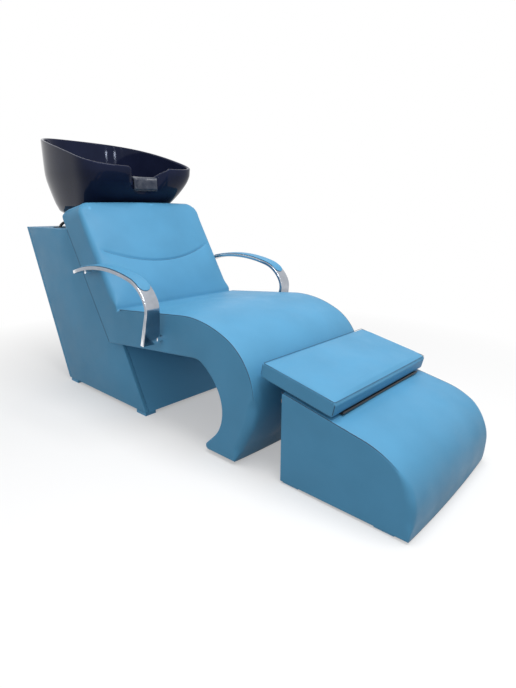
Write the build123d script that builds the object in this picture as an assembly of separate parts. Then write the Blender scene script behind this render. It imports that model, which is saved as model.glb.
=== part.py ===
from build123d import *
import math
import os

# A hair washing bed, in millimetres: +X to the foot end, +Y to the sitter's left, +Z up.
# The origin is on the floor, under the middle of the whole length and width.

# Running and seating clearances
soft_gap = 0.3
fit_gap = 0.05
seat_gap = 0.3
overrun = 20
foot_height = 11

# Seat body, seen from the side
seat_width = 550
side_board = 22
seat_foam = 45
seat_board = 12
seat_depth = 127
seat_slope = 5.3
crease_x = -193
crease_z = 382
seat_run = 345
crown_radius = 376
crown_turn = 30.3
knee_radius = 181
knee_turn = 65
shin_radius = 235
shin_turn = 27
under_run = 389
under_bend_radius = 62
under_bend_turn = 38
calf_radius = 190
calf_turn = 27
heel_radius = 127
heel_turn = 76
toe_radius = 12
lining_board = 8
toe_block_height = 60
rail_width = 34
rail_place_shares = (0.08, 0.5, 0.97)
seat_crown = 7
glide_radius = 16
glide_inset = 36

# Backrest
back_lean = 31
back_height = 420
back_foam = 60
back_depth = 130
back_board = 12
back_panel = 10
back_edge_radius = 24
back_rear_radius = 20
back_corner_radius = 50
back_top_slope = 19
back_crown = 9
top_rail_height = 34
back_top_x = crease_x - back_height * math.sin(math.radians(back_lean))
back_top_z = crease_z + back_height * math.cos(math.radians(back_lean))
smile_height = 166
smile_end_height = 221
smile_half_width = 236
smile_radius = 5
back_rail_height = 70

# Cushion sections: place over half the width, and rise over the crown
cushion_shares = (
    (-1, -1.5), (-0.97, -0.5), (-0.86, 0.1), (-0.5, 0.75), (0, 1),
    (0.5, 0.75), (0.86, 0.1), (0.97, -0.5), (1, -1.5),
)

# Bowl's place over the backrest's top
bowl_overhang = 71.316
bowl_length = 570
bowl_front_x = back_top_x + bowl_overhang
bowl_rear_x = bowl_front_x - bowl_length

# Cabinet
cabinet_width = 504
cabinet_drop = 102.010
cabinet_height = back_top_z - cabinet_drop
cabinet_board = 16
cabinet_rear_rake = 251
cabinet_top_rear_x = bowl_rear_x
cabinet_rear_x = cabinet_top_rear_x + cabinet_rear_rake
cabinet_front_reach = 95
cabinet_front_x = crease_x + cabinet_front_reach
cabinet_front_lean = 27
cabinet_floor_board = 15
front_panel_board = 12
bolt_rail_depth = 24
bolt_rail_height = 70
bolt_rail_share = 0.734375
bolt_rail_z = cabinet_height * bolt_rail_share
cabinet_foot_length = 56
cabinet_foot_width = 44
door_board = 15
door_knuckle_radius = 3
door_pin_radius = 1.5
door_leaf = 1.4
door_leaf_width = 13
door_hinge_length = 60
door_hinge_shares = (-0.28, 0.28)
door_knuckle_shares = ((-0.5, -0.17, 0), (-0.16, 0.16, 1), (0.17, 0.5, 0))
door_pull_radius = 12
door_pull_length = 20
door_pull_share = 0.9
deck_hole_radius = 50
seat_bolt_radius = 4
seat_bolt_head = 7
seat_bolt_head_length = 4
seat_bolt_spread = 150

# Water fittings in the cabinet
valve_plate = 4
valve_plate_width = 120
valve_plate_height = 60
valve_plate_foot = 34
valve_plate_inset = 97
valve_plate_x = cabinet_rear_x + valve_plate_inset
valve_thread_radius = 10.5
valve_thread_length = 15
valve_body_radius = 14
valve_body_length = 26
valve_spread = 60
valve_height = 70

# Armrests
arm_gap = 16
arm_width = 50
arm_centre_y = seat_width / 2 + arm_gap + arm_width / 2
arm_band = 12
arm_tip_back = 159
arm_tip_rise = 121
arm_tip_x = crease_x - arm_tip_back
arm_tip_z = crease_z + arm_tip_rise
arm_start_heading = 17
arm_arch_radius = 620
arm_arch_turn = 32
arm_shoulder_radius = 120
arm_shoulder_turn = 45
arm_wrist_radius = 60
arm_wrist_turn = 40
arm_leg_run = 100
arm_foot_width = 66
arm_foot_band = 15
arm_edge_radius = 3
arm_boss_radius = 10
arm_boss_inset = 14
arm_boss_bite = 6
arm_screw_radius = 4
arm_screw_bite = 12
arm_screw_head = 6.5
arm_screw_head_length = 3
arm_pad_width = 42
arm_pad_height = 8
arm_pad_skip_turn = 2.5
arm_pad_shoulder_turn = 27

# Bowl: outline sections give height, front, rear and half width
bowl_wall = 11
bowl_half_width = 249
bowl_stand = 48
bowl_bottom_z = cabinet_height + bowl_stand
bowl_front_height = 180
bowl_rear_height = 320
bowl_front_z = bowl_bottom_z + bowl_front_height
bowl_rear_z = bowl_bottom_z + bowl_rear_height
bowl_rim_arch = 9.5
bowl_top_margin = 12
bowl_top_z = bowl_rear_z + bowl_top_margin
bowl_widest_share = 0.27
bowl_front_power = 4.0
bowl_rear_power = 2.6
bowl_points = 8
bowl_section_shares = (
    (0, 0.366, 0.168, 0.635, 1), (0.048, 0.337, 0.091, 0.739, 1), (0.102, 0.250, 0.063, 0.795, 1),
    (0.163, 0.174, 0.035, 0.835, 1), (0.307, 0.074, 0.011, 0.916, 0.5), (0.443, 0.014, 0, 0.980, 0.2),
    (0.578, 0, 0, 1, 0), (1, -0.007, 0, 1.004, 1),
)
notch_half_width = 90
notch_corner_radius = 28
notch_lip_height = 142
notch_lip_z = bowl_bottom_z + notch_lip_height
dent_radius = 85
dent_depth = 59
neck_rest_wall = 10
neck_rest_front = 45
neck_rest_back = 26
neck_rest_turn = 84
waste_place_share = 0.5859649
waste_x = bowl_front_x - waste_place_share * bowl_length
drain_radius = 20
strainer_radius = 32
strainer_rise = 2.5
strainer_slot_radius = 3
strainer_slot_ring = 11
strainer_slots = 8
waste_flange_radius = 30
waste_flange = 8
waste_tail_length = 98
waste_tail_z = bowl_bottom_z - waste_tail_length
waste_bore_radius = 16

# Bowl tilt bracket
pivot_below_bowl = 23
pivot_z = bowl_bottom_z - pivot_below_bowl
plate_steel = 4
saddle_half_width = 82
base_half_width = 98
ear_half_length = 20
saddle_ear_y = 64
pivot_radius = 6
pivot_head_radius = 10
pivot_head_length = 5
saddle_hole_radius = 33
base_hole_radius = 38
ear_drop = 10

# Tap and hand shower in the bowl
tap_place_share = 0.7263158
tap_x = bowl_front_x - tap_place_share * bowl_length
tap_radius = 20
tap_height = 62
tap_shank_radius = 13
tap_nut_radius = 19
saddle_clearance = 9
base_margin = 8
saddle_half_length = waste_x - tap_x - tap_nut_radius - saddle_clearance
base_half_length = saddle_half_length + base_margin
tap_nut_length = 9
spout_radius = 8
spout_length = 58
spout_height = 50
knob_radius = 15
knob_length = 20
knob_height = 32
spindle_radius = 4
spindle_length = 16
shower_place_share = 0.6736842
shower_x = bowl_front_x - shower_place_share * bowl_length
shower_inset = 121
shower_y = shower_inset - bowl_half_width
shower_bush_radius = 15
shower_bush_rise = 24
shower_stem_radius = 7
shower_handle_length = 110
shower_handle_radius = 12
shower_head_radius = 27
shower_head_length = 34

# Shower hose and its grommet in the deck
hose_radius = 5.5
hose_drop = 30
hose_rise = 16
hose_bend_radius = 33
hose_loop_z = 290
hose_loop_radius = 88
tap_hole_radius = 23
grommet_radius = 20
grommet_bore_radius = 13
grommet_flange = 4
grommet_flange_height = 3
grommet_place_share = 0.7017544
grommet_x = bowl_front_x - grommet_place_share * bowl_length
grommet_inset = 64
grommet_y = grommet_inset - cabinet_width / 2

# Footrest
rest_width = 504
rest_gap = 77.126
rest_board = 16
rest_foam = 30
rest_deck_board = 9
rest_rear_z = 265
rest_slope = 12
rest_run = 246
rest_shoulder_radius = 230
rest_shoulder_turn = 20
rest_nose_radius = 133
rest_nose_turn = 58
rest_shin_radius = 275
rest_shin_turn = 8
rest_crown = 5
rest_rear_panel = 9
rest_rail_depth = 30
rest_rail_height = 40
rest_foot_length = 52
rest_foot_width = 44
rest_foot_inset = 6

# Bridging flap on the footrest
flap_length = 236
flap_overhang = 78
flap_foam = 36
flap_board = 9
flap_crown = 5
flap_edge_radius = 8
flap_leaf = 1.2
flap_leaf_width = 26
flap_hinge_length = 420
flap_knuckle_radius = 3
flap_pin_radius = 1.4
flap_knuckles = 7
flap_knuckle_gap = 0.4


def polar(point, heading, distance):
    """The point that lies a distance from another, along a heading in degrees."""
    turn = math.radians(heading)
    return (point[0] + distance * math.cos(turn), point[1] + distance * math.sin(turn))


def meet(point_a, heading_a, point_b, heading_b):
    """Where two lines cross, each given by a point and a heading."""
    ax, az = math.cos(math.radians(heading_a)), math.sin(math.radians(heading_a))
    bx, bz = math.cos(math.radians(heading_b)), math.sin(math.radians(heading_b))
    dx, dz = point_b[0] - point_a[0], point_b[1] - point_a[1]
    distance = (dx * bz - dz * bx) / (ax * bz - az * bx)
    return polar(point_a, heading_a, distance)


def trail(start, heading, legs, shift=0, lead=0):
    """Edges of a path of lines and arcs, moved to its left by shift and led back by lead."""
    here = polar(polar(start, heading + 90, shift), heading, -lead)
    edges = []
    for kind, *sizes in legs:
        if kind == "line" or kind == "down":
            length = sizes[0] + lead
            if kind == "down":
                length = (sizes[0] - here[1]) / math.sin(math.radians(heading))
            there = polar(here, heading, length)
            edges.append(Line(here, there))
        else:
            side = 1 if kind == "left" else -1
            radius = sizes[0] - side * shift
            centre = polar(here, heading + side * 90, radius)
            middle = polar(centre, heading - side * 90 + side * sizes[1] / 2, radius)
            there = polar(centre, heading - side * 90 + side * sizes[1], radius)
            edges.append(ThreePointArc(here, middle, there))
            heading += side * sizes[1]
        here = there
        lead = 0
    return edges, here, heading


def joined(edges, *points):
    """Close a path of edges through the given points, from its end back to its start."""
    stops = [edges[-1] @ 1, *points, edges[0] @ 0]
    return edges + [Line(tuple(a)[:2], tuple(b)[:2]) for a, b in zip(stops, stops[1:])]


def outline(*points):
    """A straight-sided closed outline."""
    return [Line(a, b) for a, b in zip(points, points[1:] + points[:1])]


def prism(edges, low, high):
    """A flat-sided piece: an outline in XZ, carried along Y from low to high."""
    return extrude(Plane.XZ.offset(-high) * make_face(edges), high - low, dir=(0, -1, 0))


def padded(edges_at, half_width, crown):
    """A cushion: outlines across its width, lofted, that rise by the crown in the middle."""
    sections = []
    for place_share, rise_share in cushion_shares:
        face = make_face(edges_at(rise_share * crown))
        sections.append(Plane.XZ.offset(-place_share * half_width) * face)
    return loft(sections, ruled=True)


def block(low, high):
    """A box between two corners."""
    size = [b - a for a, b in zip(low, high)]
    return Pos(*low) * Box(*size, align=(Align.MIN, Align.MIN, Align.MIN))


def rod(start, direction, radius, length):
    """A round bar from a start point along a direction."""
    return Plane(origin=start, z_dir=direction) * Cylinder(
        radius, length, align=(Align.CENTER, Align.CENTER, Align.MIN)
    )


def save(name, *solids):
    """Write one node, of one solid or of a group of separate solids."""
    whole = []
    for solid in solids:
        whole.extend(solid.solids())
    export_step(whole[0] if len(whole) == 1 else Compound(children=whole), f"parts/{name}.step")
    print(name, len(whole), round(sum(s.volume for s in whole)))


# Side-view lines of the seat and backrest
crease = (crease_x, crease_z)
seat_half = seat_width / 2
inner_half = seat_half - side_board
front_heading = 90 + back_lean
top_legs = [
    ("line", seat_run), ("right", crown_radius, crown_turn), ("right", knee_radius, knee_turn),
    ("right", shin_radius, shin_turn), ("down", foot_height),
]
under_start = polar(crease, seat_slope - 90, seat_depth)
rear_point = polar(crease, back_lean, -back_depth)
rear_corner = meet(rear_point, front_heading, under_start, seat_slope)
toe_turn = under_bend_turn + calf_turn + heel_turn - seat_slope
toe_level = foot_height + toe_radius * (1 - math.cos(math.radians(toe_turn)))
under_legs = [
    ("line", under_run), ("right", under_bend_radius, under_bend_turn),
    ("right", calf_radius, calf_turn), ("right", heel_radius, heel_turn), ("down", toe_level),
]
back_top = polar(crease, front_heading, back_height)
top_heading = 180 + back_top_slope
cushion_back_point = polar(crease, back_lean, -back_foam)
board_point = polar(crease, back_lean, -back_foam - soft_gap)
deck_point = polar(crease, seat_slope - 90, seat_foam)
arm_legs = [
    ("right", arm_arch_radius, arm_arch_turn), ("right", arm_shoulder_radius, arm_shoulder_turn),
    ("right", arm_wrist_radius, arm_wrist_turn),
]


def arm_screw_places():
    """Where the armrest meets the seat side, in XZ: its rear tip and its foot."""
    _, leg_top, leg_heading = trail((arm_tip_x, arm_tip_z), arm_start_heading, arm_legs)
    return (arm_tip_x, arm_tip_z), polar(leg_top, leg_heading, arm_leg_run - arm_boss_inset)


def seat_body_face():
    """The whole side outline of seat, leg and backrest."""
    top, top_end, _ = trail(crease, seat_slope, top_legs)
    lead = math.dist(rear_corner, under_start)
    under, under_end, heading = trail(under_start, seat_slope, under_legs, lead=lead)
    toe, _, _ = trail(under_end, heading, [("left", toe_radius, toe_turn)])
    rear_top = meet(back_top, top_heading, rear_point, front_heading)
    rear_turn = front_heading + 180 - top_heading
    bend = back_rear_radius * math.tan(math.radians(rear_turn / 2))
    back_legs = [
        ("left", back_rear_radius, rear_turn),
        ("line", math.dist(rear_corner, rear_top) - bend),
    ]
    top_start = polar(rear_top, top_heading, -bend)
    rear, _, _ = trail(top_start, top_heading, back_legs)
    edges = top + [Line(top_end, tuple(toe[-1] @ 1)[:2])] + under + toe + rear
    return make_face(edges + [Line(top_start, back_top), Line(back_top, crease)])


def seat_cushion_edges(rise, depth=seat_foam, gap=seat_gap):
    """The seat cushion's outline: over the seat, round the knee and down to the floor line."""
    start = polar(crease, seat_slope, gap / math.cos(math.radians(back_lean - seat_slope)))
    tuck = math.tan(math.radians(back_lean - seat_slope))
    top, top_end, _ = trail(start, seat_slope, top_legs, shift=rise, lead=rise * tuck)
    low, low_end, _ = trail(start, seat_slope, top_legs, shift=-depth, lead=-depth * tuck)
    return top + low + [Line(top_end, low_end), Line(top[0] @ 0, low[0] @ 0)]


def back_cushion_edges(rise, gap=0):
    """The backrest cushion's outline: up the front, over the top edge and down its back."""
    out = rise + gap
    foot = meet(polar(crease, back_lean, out), front_heading, deck_point, seat_slope)
    back_foot = meet(cushion_back_point, front_heading, deck_point, seat_slope)
    corner = meet(foot, front_heading, back_top, top_heading)
    top_end = meet(cushion_back_point, front_heading, back_top, top_heading)
    turn = top_heading - front_heading
    bend = (back_edge_radius + out) * math.tan(math.radians(turn / 2))
    legs = [
        ("line", math.dist(foot, corner) - bend), ("left", back_edge_radius + out, turn),
        ("line", math.dist(corner, top_end) - bend),
    ]
    front, _, _ = trail(foot, front_heading, legs)
    return joined(front, back_foot)


def back_relief_edges(rise):
    """What the backrest's crown leaves out of the seat cushion at the crease."""
    return back_cushion_edges(rise, soft_gap)


def back_plane(height, depth=0):
    """A plane on the backrest's front: local X across the seat, local Y up the back."""
    x, z = polar(polar(crease, front_heading, height), back_lean, -depth)
    lean = math.radians(back_lean)
    return Plane(origin=(x, 0, z), x_dir=(0, 1, 0), z_dir=(math.cos(lean), 0, math.sin(lean)))


def corner_trims():
    """What the rounded top corners of the backrest leave out."""
    depth = back_depth + 4 * overrun
    behind = polar(back_top, back_top_slope, -back_depth - 2 * overrun)
    x, z = polar(behind, back_top_slope + 90, -back_corner_radius)
    fall = math.radians(back_top_slope)
    plane = Plane(origin=(x, 0, z), x_dir=(0, 1, 0), z_dir=(math.cos(fall), 0, math.sin(fall)))
    reach = back_corner_radius + overrun
    trims = []
    for side in (-1, 1):
        centre = Pos(side * (seat_half - back_corner_radius), 0, 0)
        corner = Pos(side * reach / 2, reach / 2, depth / 2) * Box(reach, reach, depth)
        round_bar = Cylinder(back_corner_radius, depth, align=(Align.CENTER, Align.CENTER, Align.MIN))
        trims.append(plane * centre * (corner - round_bar))
    return trims


def seat_pieces():
    """Seat sides, boards, rails, cushions and glides."""
    body = seat_body_face()
    cushion_zone = make_face(seat_cushion_edges(overrun, seat_foam + soft_gap, 0))
    back_zone = make_face(outline(
        meet(crease, front_heading, deck_point, seat_slope),
        meet(board_point, front_heading, deck_point, seat_slope),
        polar(board_point, front_heading, back_height + overrun * 2),
        polar(crease, front_heading, back_height + overrun * 2),
        polar(polar(crease, front_heading, back_height + overrun * 2), back_lean, overrun),
        polar(crease, back_lean, overrun),
    ))
    side_face = body - cushion_zone - back_zone
    trims = corner_trims()
    for name, low in (("right", -seat_half), ("left", inner_half)):
        side = extrude(Plane.XZ.offset(-low - side_board) * side_face, side_board, dir=(0, -1, 0))
        for trim in trims:
            side = side - trim
        for x, z in arm_screw_places():
            side = side - rod((x, low, z), (0, 1, 0), arm_screw_radius, side_board)
        save(f"seat_side_{name}", side)

    relief = padded(back_relief_edges, seat_half, back_crown)
    save("seat_cushion", padded(seat_cushion_edges, seat_half, seat_crown) - relief)

    low = -seat_foam - soft_gap
    deck_lead = math.dist(rear_corner, under_start)
    upper, upper_end, _ = trail(crease, seat_slope, top_legs, shift=low, lead=deck_lead)
    lower, lower_end, _ = trail(crease, seat_slope, top_legs, shift=low - seat_board, lead=deck_lead)
    deck_edges = upper + lower + [Line(upper_end, lower_end), Line(upper[0] @ 0, lower[0] @ 0)]
    core = extrude(Plane.XZ.offset(-inner_half) * side_face, 2 * inner_half, dir=(0, -1, 0))
    rear_half = polar(rear_corner, back_lean, back_panel)
    behind = prism(outline(
        rear_half,
        polar(rear_half, front_heading, back_height * 2),
        polar(polar(rear_half, front_heading, back_height * 2), back_lean, -overrun * 4),
        polar(rear_half, back_lean, -overrun * 4),
    ), -inner_half, inner_half)
    rear_panel = core & behind
    deck = (core & prism(deck_edges, -inner_half, inner_half)) - behind
    save("seat_deck", deck)

    outer, outer_end, _ = trail(under_start, seat_slope, under_legs, lead=deck_lead)
    inner, inner_end, _ = trail(under_start, seat_slope, under_legs, shift=lining_board, lead=deck_lead)
    lining_edges = outer + inner + [Line(outer_end, inner_end), Line(outer[0] @ 0, inner[0] @ 0)]
    lining = (core & prism(lining_edges, -inner_half, inner_half)) - behind
    save("leg_lining", lining)

    hollow = core - prism(deck_edges, -inner_half, inner_half) - lining - behind
    rails = []
    rail_height = seat_depth - seat_foam - seat_board / 2
    for share in rail_place_shares:
        rear_low = polar(under_start, seat_slope, under_run * share - rail_width / 2)
        front_low = polar(rear_low, seat_slope, rail_width)
        strip = prism(outline(
            rear_low, front_low,
            polar(front_low, seat_slope + 90, rail_height),
            polar(rear_low, seat_slope + 90, rail_height),
        ), -inner_half, inner_half)
        rails.append(hollow & strip)
    save("seat_rails", *rails)
    toe_top = foot_height + toe_block_height
    toe_zone = block((0, -inner_half, 0), (knee_radius + crown_radius, inner_half, toe_top))
    toe_block = hollow & toe_zone
    save("toe_block", toe_block)

    board_zone = prism(outline(
        meet(board_point, front_heading, deck_point, seat_slope),
        polar(board_point, front_heading, back_height + overrun),
        polar(polar(board_point, back_lean, -back_board), front_heading, back_height + overrun),
        meet(polar(board_point, back_lean, -back_board), front_heading, deck_point, seat_slope),
    ), -inner_half, inner_half)
    back_core = core - deck - lining
    board = back_core & board_zone
    top_zone = back_plane(back_height - top_rail_height) * Pos(0, top_rail_height, -back_depth / 2) * Box(
        seat_width, 2 * top_rail_height, back_depth * 2
    )
    top_rail = (back_core & top_zone) - board_zone - behind
    for side in (-1, 1):
        start = (arm_tip_x, side * inner_half, arm_tip_z)
        head_room = rod(start, (0, -side, 0), arm_screw_head + seat_gap, arm_screw_head_length + seat_gap)
        board = board - head_room
    for trim in trims:
        board = board - trim
        top_rail = top_rail - trim
        rear_panel = rear_panel - trim
    low_zone = back_plane(0) * Pos(0, back_rail_height / 2, -back_depth / 2) * Box(
        seat_width, back_rail_height, back_depth * 2
    )
    back_rail = (back_core & low_zone) - board_zone - behind
    save("backrest_board", board)
    save("backrest_rear_panel", rear_panel)
    save("backrest_rails", top_rail, back_rail)

    cushion = padded(back_cushion_edges, seat_half, back_crown)
    for trim in trims:
        cushion = cushion - trim
    ends = [
        back_plane(smile_end_height).from_local_coords((side * smile_half_width, 0, -smile_radius / 2))
        for side in (-1, 1)
    ]
    middle = back_plane(smile_height).from_local_coords((0, 0, back_crown))
    line = ThreePointArc(ends[0], middle, ends[1])
    groove = sweep(Plane(origin=line @ 0, z_dir=line % 0) * Circle(smile_radius), line)
    save("backrest_cushion", cushion - groove)

    glides = []
    toe_x = toe_block.bounding_box()
    for x in (toe_x.min.X + glide_inset, toe_x.max.X - glide_inset):
        for side in (-1, 1):
            y = side * (inner_half - glide_inset)
            glides.append(rod((x, y, 0), (0, 0, 1), glide_radius, foot_height))
    save("seat_glides", *glides)


def cabinet_outline(rear_gap):
    """The cabinet's side outline, with its rear edge moved in by the gap."""
    rear_heading = math.degrees(math.atan2(cabinet_height, cabinet_top_rear_x - cabinet_rear_x))
    rear_foot = (cabinet_rear_x, 0)
    inset = polar(rear_foot, rear_heading - 90, rear_gap)
    low = meet(inset, rear_heading, (0, foot_height), 0)
    high = meet(inset, rear_heading, (0, cabinet_height), 0)
    top_front = meet(rear_point, front_heading, (0, cabinet_height), 0)
    front_foot = (cabinet_front_x, foot_height)
    front_high = meet(front_foot, 90 + cabinet_front_lean, under_start, seat_slope)
    return low, high, top_front, rear_corner, front_high, front_foot, rear_heading


def cabinet_pieces():
    """Sides, floor, deck, front panel, bolt rail and feet of the cabinet."""
    low, high, top_front, corner, front_high, front_foot, _ = cabinet_outline(door_board + seat_gap)
    half = cabinet_width / 2
    inner = half - cabinet_board
    side_edges = outline(low, high, top_front, corner, front_high, front_foot)
    save("cabinet_side_right", prism(side_edges, -half, -inner))
    save("cabinet_side_left", prism(side_edges, inner, half))
    core = prism(side_edges, -inner, inner)
    floor_top = foot_height + cabinet_floor_board
    floor = core & block((cabinet_top_rear_x, -half, 0), (0, half, floor_top))
    deck_low = cabinet_height - cabinet_board
    deck = core & block((cabinet_top_rear_x, -half, deck_low), (0, half, cabinet_height))
    deck = deck - rod((waste_x, 0, deck_low), (0, 0, 1), deck_hole_radius, cabinet_board)
    deck = deck - rod((grommet_x, grommet_y, deck_low), (0, 0, 1), grommet_radius, cabinet_board)
    deck = deck - rod((tap_x, 0, deck_low), (0, 0, 1), tap_hole_radius, cabinet_board)
    save("cabinet_deck", deck)
    save("cabinet_floor", floor)
    save("water_inlets", water_inlets(floor_top))
    front_zone = prism(outline(
        front_foot, front_high,
        polar(front_high, cabinet_front_lean, -front_panel_board),
        polar(front_foot, cabinet_front_lean, -front_panel_board),
    ), -inner, inner)
    front_panel = (core & front_zone) - floor
    save("cabinet_front_panel", front_panel)

    rail_point = meet(rear_point, front_heading, (0, bolt_rail_z), 0)
    rail = prism(outline(
        rail_point,
        polar(rail_point, front_heading, bolt_rail_height),
        polar(polar(rail_point, front_heading, bolt_rail_height), back_lean, -bolt_rail_depth),
        polar(rail_point, back_lean, -bolt_rail_depth),
    ), -inner, inner)
    bolts = []
    bolt_place = polar(rail_point, front_heading, bolt_rail_height / 2)
    lean = math.radians(back_lean)
    direction = (math.cos(lean), 0, math.sin(lean))
    for side in (-1, 1):
        x, z = polar(bolt_place, back_lean, -bolt_rail_depth)
        start = (x, side * seat_bolt_spread, z)
        shank = rod(start, direction, seat_bolt_radius, bolt_rail_depth)
        head_start = polar((x, z), back_lean, -seat_bolt_head_length)
        head_place = (head_start[0], start[1], head_start[1])
        head = rod(head_place, direction, seat_bolt_head, seat_bolt_head_length)
        bolts.append(shank + head)
        rail = rail - shank
    save("bolt_rail", rail)
    save("seat_bolts", *bolts)

    feet = []
    rear_x = low[0]
    front_x = cabinet_front_x
    for start in (rear_x, front_x - cabinet_foot_length):
        for side in (-1, 1):
            y = side * (half - cabinet_foot_width / 2)
            feet.append(block(
                (start, y - cabinet_foot_width / 2, 0),
                (start + cabinet_foot_length, y + cabinet_foot_width / 2, foot_height),
            ))
    save("cabinet_feet", *feet)

    flange = grommet_radius + grommet_flange
    lip = rod((grommet_x, grommet_y, cabinet_height), (0, 0, 1), flange, grommet_flange_height)
    sleeve = rod((grommet_x, grommet_y, deck_low), (0, 0, 1), grommet_radius, cabinet_board)
    bore = rod((grommet_x, grommet_y, deck_low), (0, 0, 1), grommet_bore_radius, cabinet_board + overrun)
    save("hose_grommet", lip + sleeve - bore)


def water_inlets(floor_top):
    """The bracket on the cabinet floor, with its hot and cold threaded inlets."""
    half = valve_plate_width / 2
    corner = (valve_plate_x, -half, floor_top)
    whole = block(corner, (valve_plate_x + valve_plate_foot, half, floor_top + valve_plate))
    whole = whole + block(corner, (valve_plate_x + valve_plate, half, floor_top + valve_plate_height))
    for side in (-1, 1):
        place = (valve_plate_x, side * valve_spread / 2, valve_height)
        whole = whole + rod(place, (1, 0, 0), valve_body_radius, valve_body_length)
        whole = whole + rod(place, (-1, 0, 0), valve_thread_radius, valve_thread_length)
    return whole


def door_plane(height_share):
    """A plane on the door's inner face: local X across, local Y up the leaning door, Z outwards."""
    low, high, _, _, _, _, heading = cabinet_outline(door_board)
    x = low[0] + (high[0] - low[0]) * height_share
    z = low[1] + (high[1] - low[1]) * height_share
    out = math.radians(heading + 90)
    return Plane(origin=(x, 0, z), x_dir=(0, -1, 0), z_dir=(math.cos(out), 0, math.sin(out)))


def door_pieces():
    """The leaning drop door at the rear, its hinges along the bottom and its pull."""
    outer_low, outer_high = cabinet_outline(0)[:2]
    inner_low, inner_high = cabinet_outline(door_board)[:2]
    half = cabinet_width / 2
    save("service_door", prism(outline(inner_low, inner_high, outer_high, outer_low), -half, half))
    step = door_pull_length / 3
    pull = rod((0, 0, door_board), (0, 0, 1), door_pull_radius, door_pull_length)
    ring = rod((0, 0, door_board + step), (0, 0, 1), door_pull_radius + overrun, step)
    ring = ring - rod((0, 0, door_board + step), (0, 0, 1), door_pull_radius / 2, step)
    save("door_pull", door_plane(door_pull_share) * (pull - ring))

    axis_x, axis_z = inner_low[0], foot_height - door_knuckle_radius
    cabinet_leaves, door_leaves, pins = [], [], []
    for share in door_hinge_shares:
        centre = share * cabinet_width
        leaves = [None, None]
        for start_share, end_share, owner in door_knuckle_shares:
            start = centre + start_share * door_hinge_length
            end = centre + end_share * door_hinge_length
            tube = rod((axis_x, start, axis_z), (0, 1, 0), door_knuckle_radius, end - start)
            low_x = axis_x - door_leaf_width if owner else axis_x
            high_x = low_x + door_leaf_width
            part = tube + block((low_x, start, foot_height - door_leaf), (high_x, end, foot_height))
            leaves[owner] = part if leaves[owner] is None else leaves[owner] + part
        pin_start = (axis_x, centre - door_hinge_length / 2, axis_z)
        bore = rod(pin_start, (0, 1, 0), door_pin_radius + fit_gap, door_hinge_length)
        cabinet_leaves.append(leaves[0] - bore)
        door_leaves.append(leaves[1] - bore)
        pins.append(rod(pin_start, (0, 1, 0), door_pin_radius, door_hinge_length))
    save("door_hinge_cabinet_leaves", *cabinet_leaves)
    save("door_hinge_door_leaves", *door_leaves)
    save("door_hinge_pins", *pins)
    print("door hinge axis at", axis_x, axis_z)


def arm_pieces():
    """Arched metal armrests, their inset pads and their screws."""
    tip = (arm_tip_x, arm_tip_z)
    upper, upper_end, _ = trail(tip, arm_start_heading, arm_legs, shift=arm_band / 2)
    lower, lower_end, _ = trail(tip, arm_start_heading, arm_legs, shift=-arm_band / 2)
    _, leg_top, leg_heading = trail(tip, arm_start_heading, arm_legs)
    band_edges = upper + lower + [Line(upper_end, lower_end), Line(upper[0] @ 0, lower[0] @ 0)]
    skip_leg = [("right", arm_arch_radius, arm_pad_skip_turn)]
    _, pad_start, pad_heading = trail(tip, arm_start_heading, skip_leg)
    pad_legs = [
        ("right", arm_arch_radius, arm_arch_turn - arm_pad_skip_turn),
        ("right", arm_shoulder_radius, arm_pad_shoulder_turn),
    ]
    pad_low = arm_band / 2
    pad_a, pad_a_end, _ = trail(pad_start, pad_heading, pad_legs, shift=pad_low)
    pad_b, pad_b_end, _ = trail(pad_start, pad_heading, pad_legs, shift=pad_low + arm_pad_height)
    pad_edges = pad_a + pad_b + [Line(pad_a_end, pad_b_end), Line(pad_a[0] @ 0, pad_b[0] @ 0)]
    boss_length = arm_centre_y - arm_width / 2 - seat_half + arm_boss_bite
    shank_length = side_board + arm_screw_bite
    screws = []
    for name, side in (("right", -1), ("left", 1)):
        low_y = side * arm_centre_y - arm_width / 2
        band = prism(band_edges, low_y, low_y + arm_width)
        top_plane = Plane(
            origin=(leg_top[0], side * arm_centre_y, leg_top[1]), x_dir=(0, 1, 0),
            z_dir=(math.cos(math.radians(leg_heading)), 0, math.sin(math.radians(leg_heading))),
        )
        leg = loft([
            top_plane * Rectangle(arm_width, arm_band),
            top_plane * Pos(0, 0, arm_leg_run) * Rectangle(arm_foot_width, arm_foot_band),
        ])
        arm = band + leg
        arcs = arm.edges().filter_by(GeomType.CIRCLE)
        arm = fillet(arcs.filter_by(lambda edge: edge.length > arm_wrist_radius / 2), arm_edge_radius)
        for x, z in arm_screw_places():
            outwards = (0, side, 0)
            arm = arm + rod((x, side * seat_half, z), outwards, arm_boss_radius, boss_length)
            arm = arm - rod((x, side * seat_half, z), outwards, arm_screw_radius, arm_screw_bite)
            shank = rod((x, side * inner_half, z), outwards, arm_screw_radius, shank_length)
            head = rod((x, side * inner_half, z), (0, -side, 0), arm_screw_head, arm_screw_head_length)
            screws.append(shank + head)
        save(f"arm_{name}", arm)
        pad_y = side * arm_centre_y - arm_pad_width / 2
        pad = prism(pad_edges, pad_y, pad_y + arm_pad_width)
        save(f"arm_pad_{name}", pad)
    save("arm_screws", *screws)


def bowl_side(front, rear, half_width, side):
    """One side of the bowl's egg-shaped outline, fuller at the front."""
    length = front - rear
    widest = front - bowl_widest_share * length
    points = []
    for step in range(1, bowl_points):
        turn = math.pi * step / bowl_points
        c, s = math.cos(turn), math.sin(turn)
        power = bowl_front_power if c >= 0 else bowl_rear_power
        reach = bowl_widest_share if c >= 0 else bowl_widest_share - 1
        x = widest + reach * length * abs(c) ** (2 / power)
        points.append((x, side * half_width * s ** (2 / power)))
    return Spline((front, 0), *points, (rear, 0), tangents=[(0, side), (0, -side)])


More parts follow.
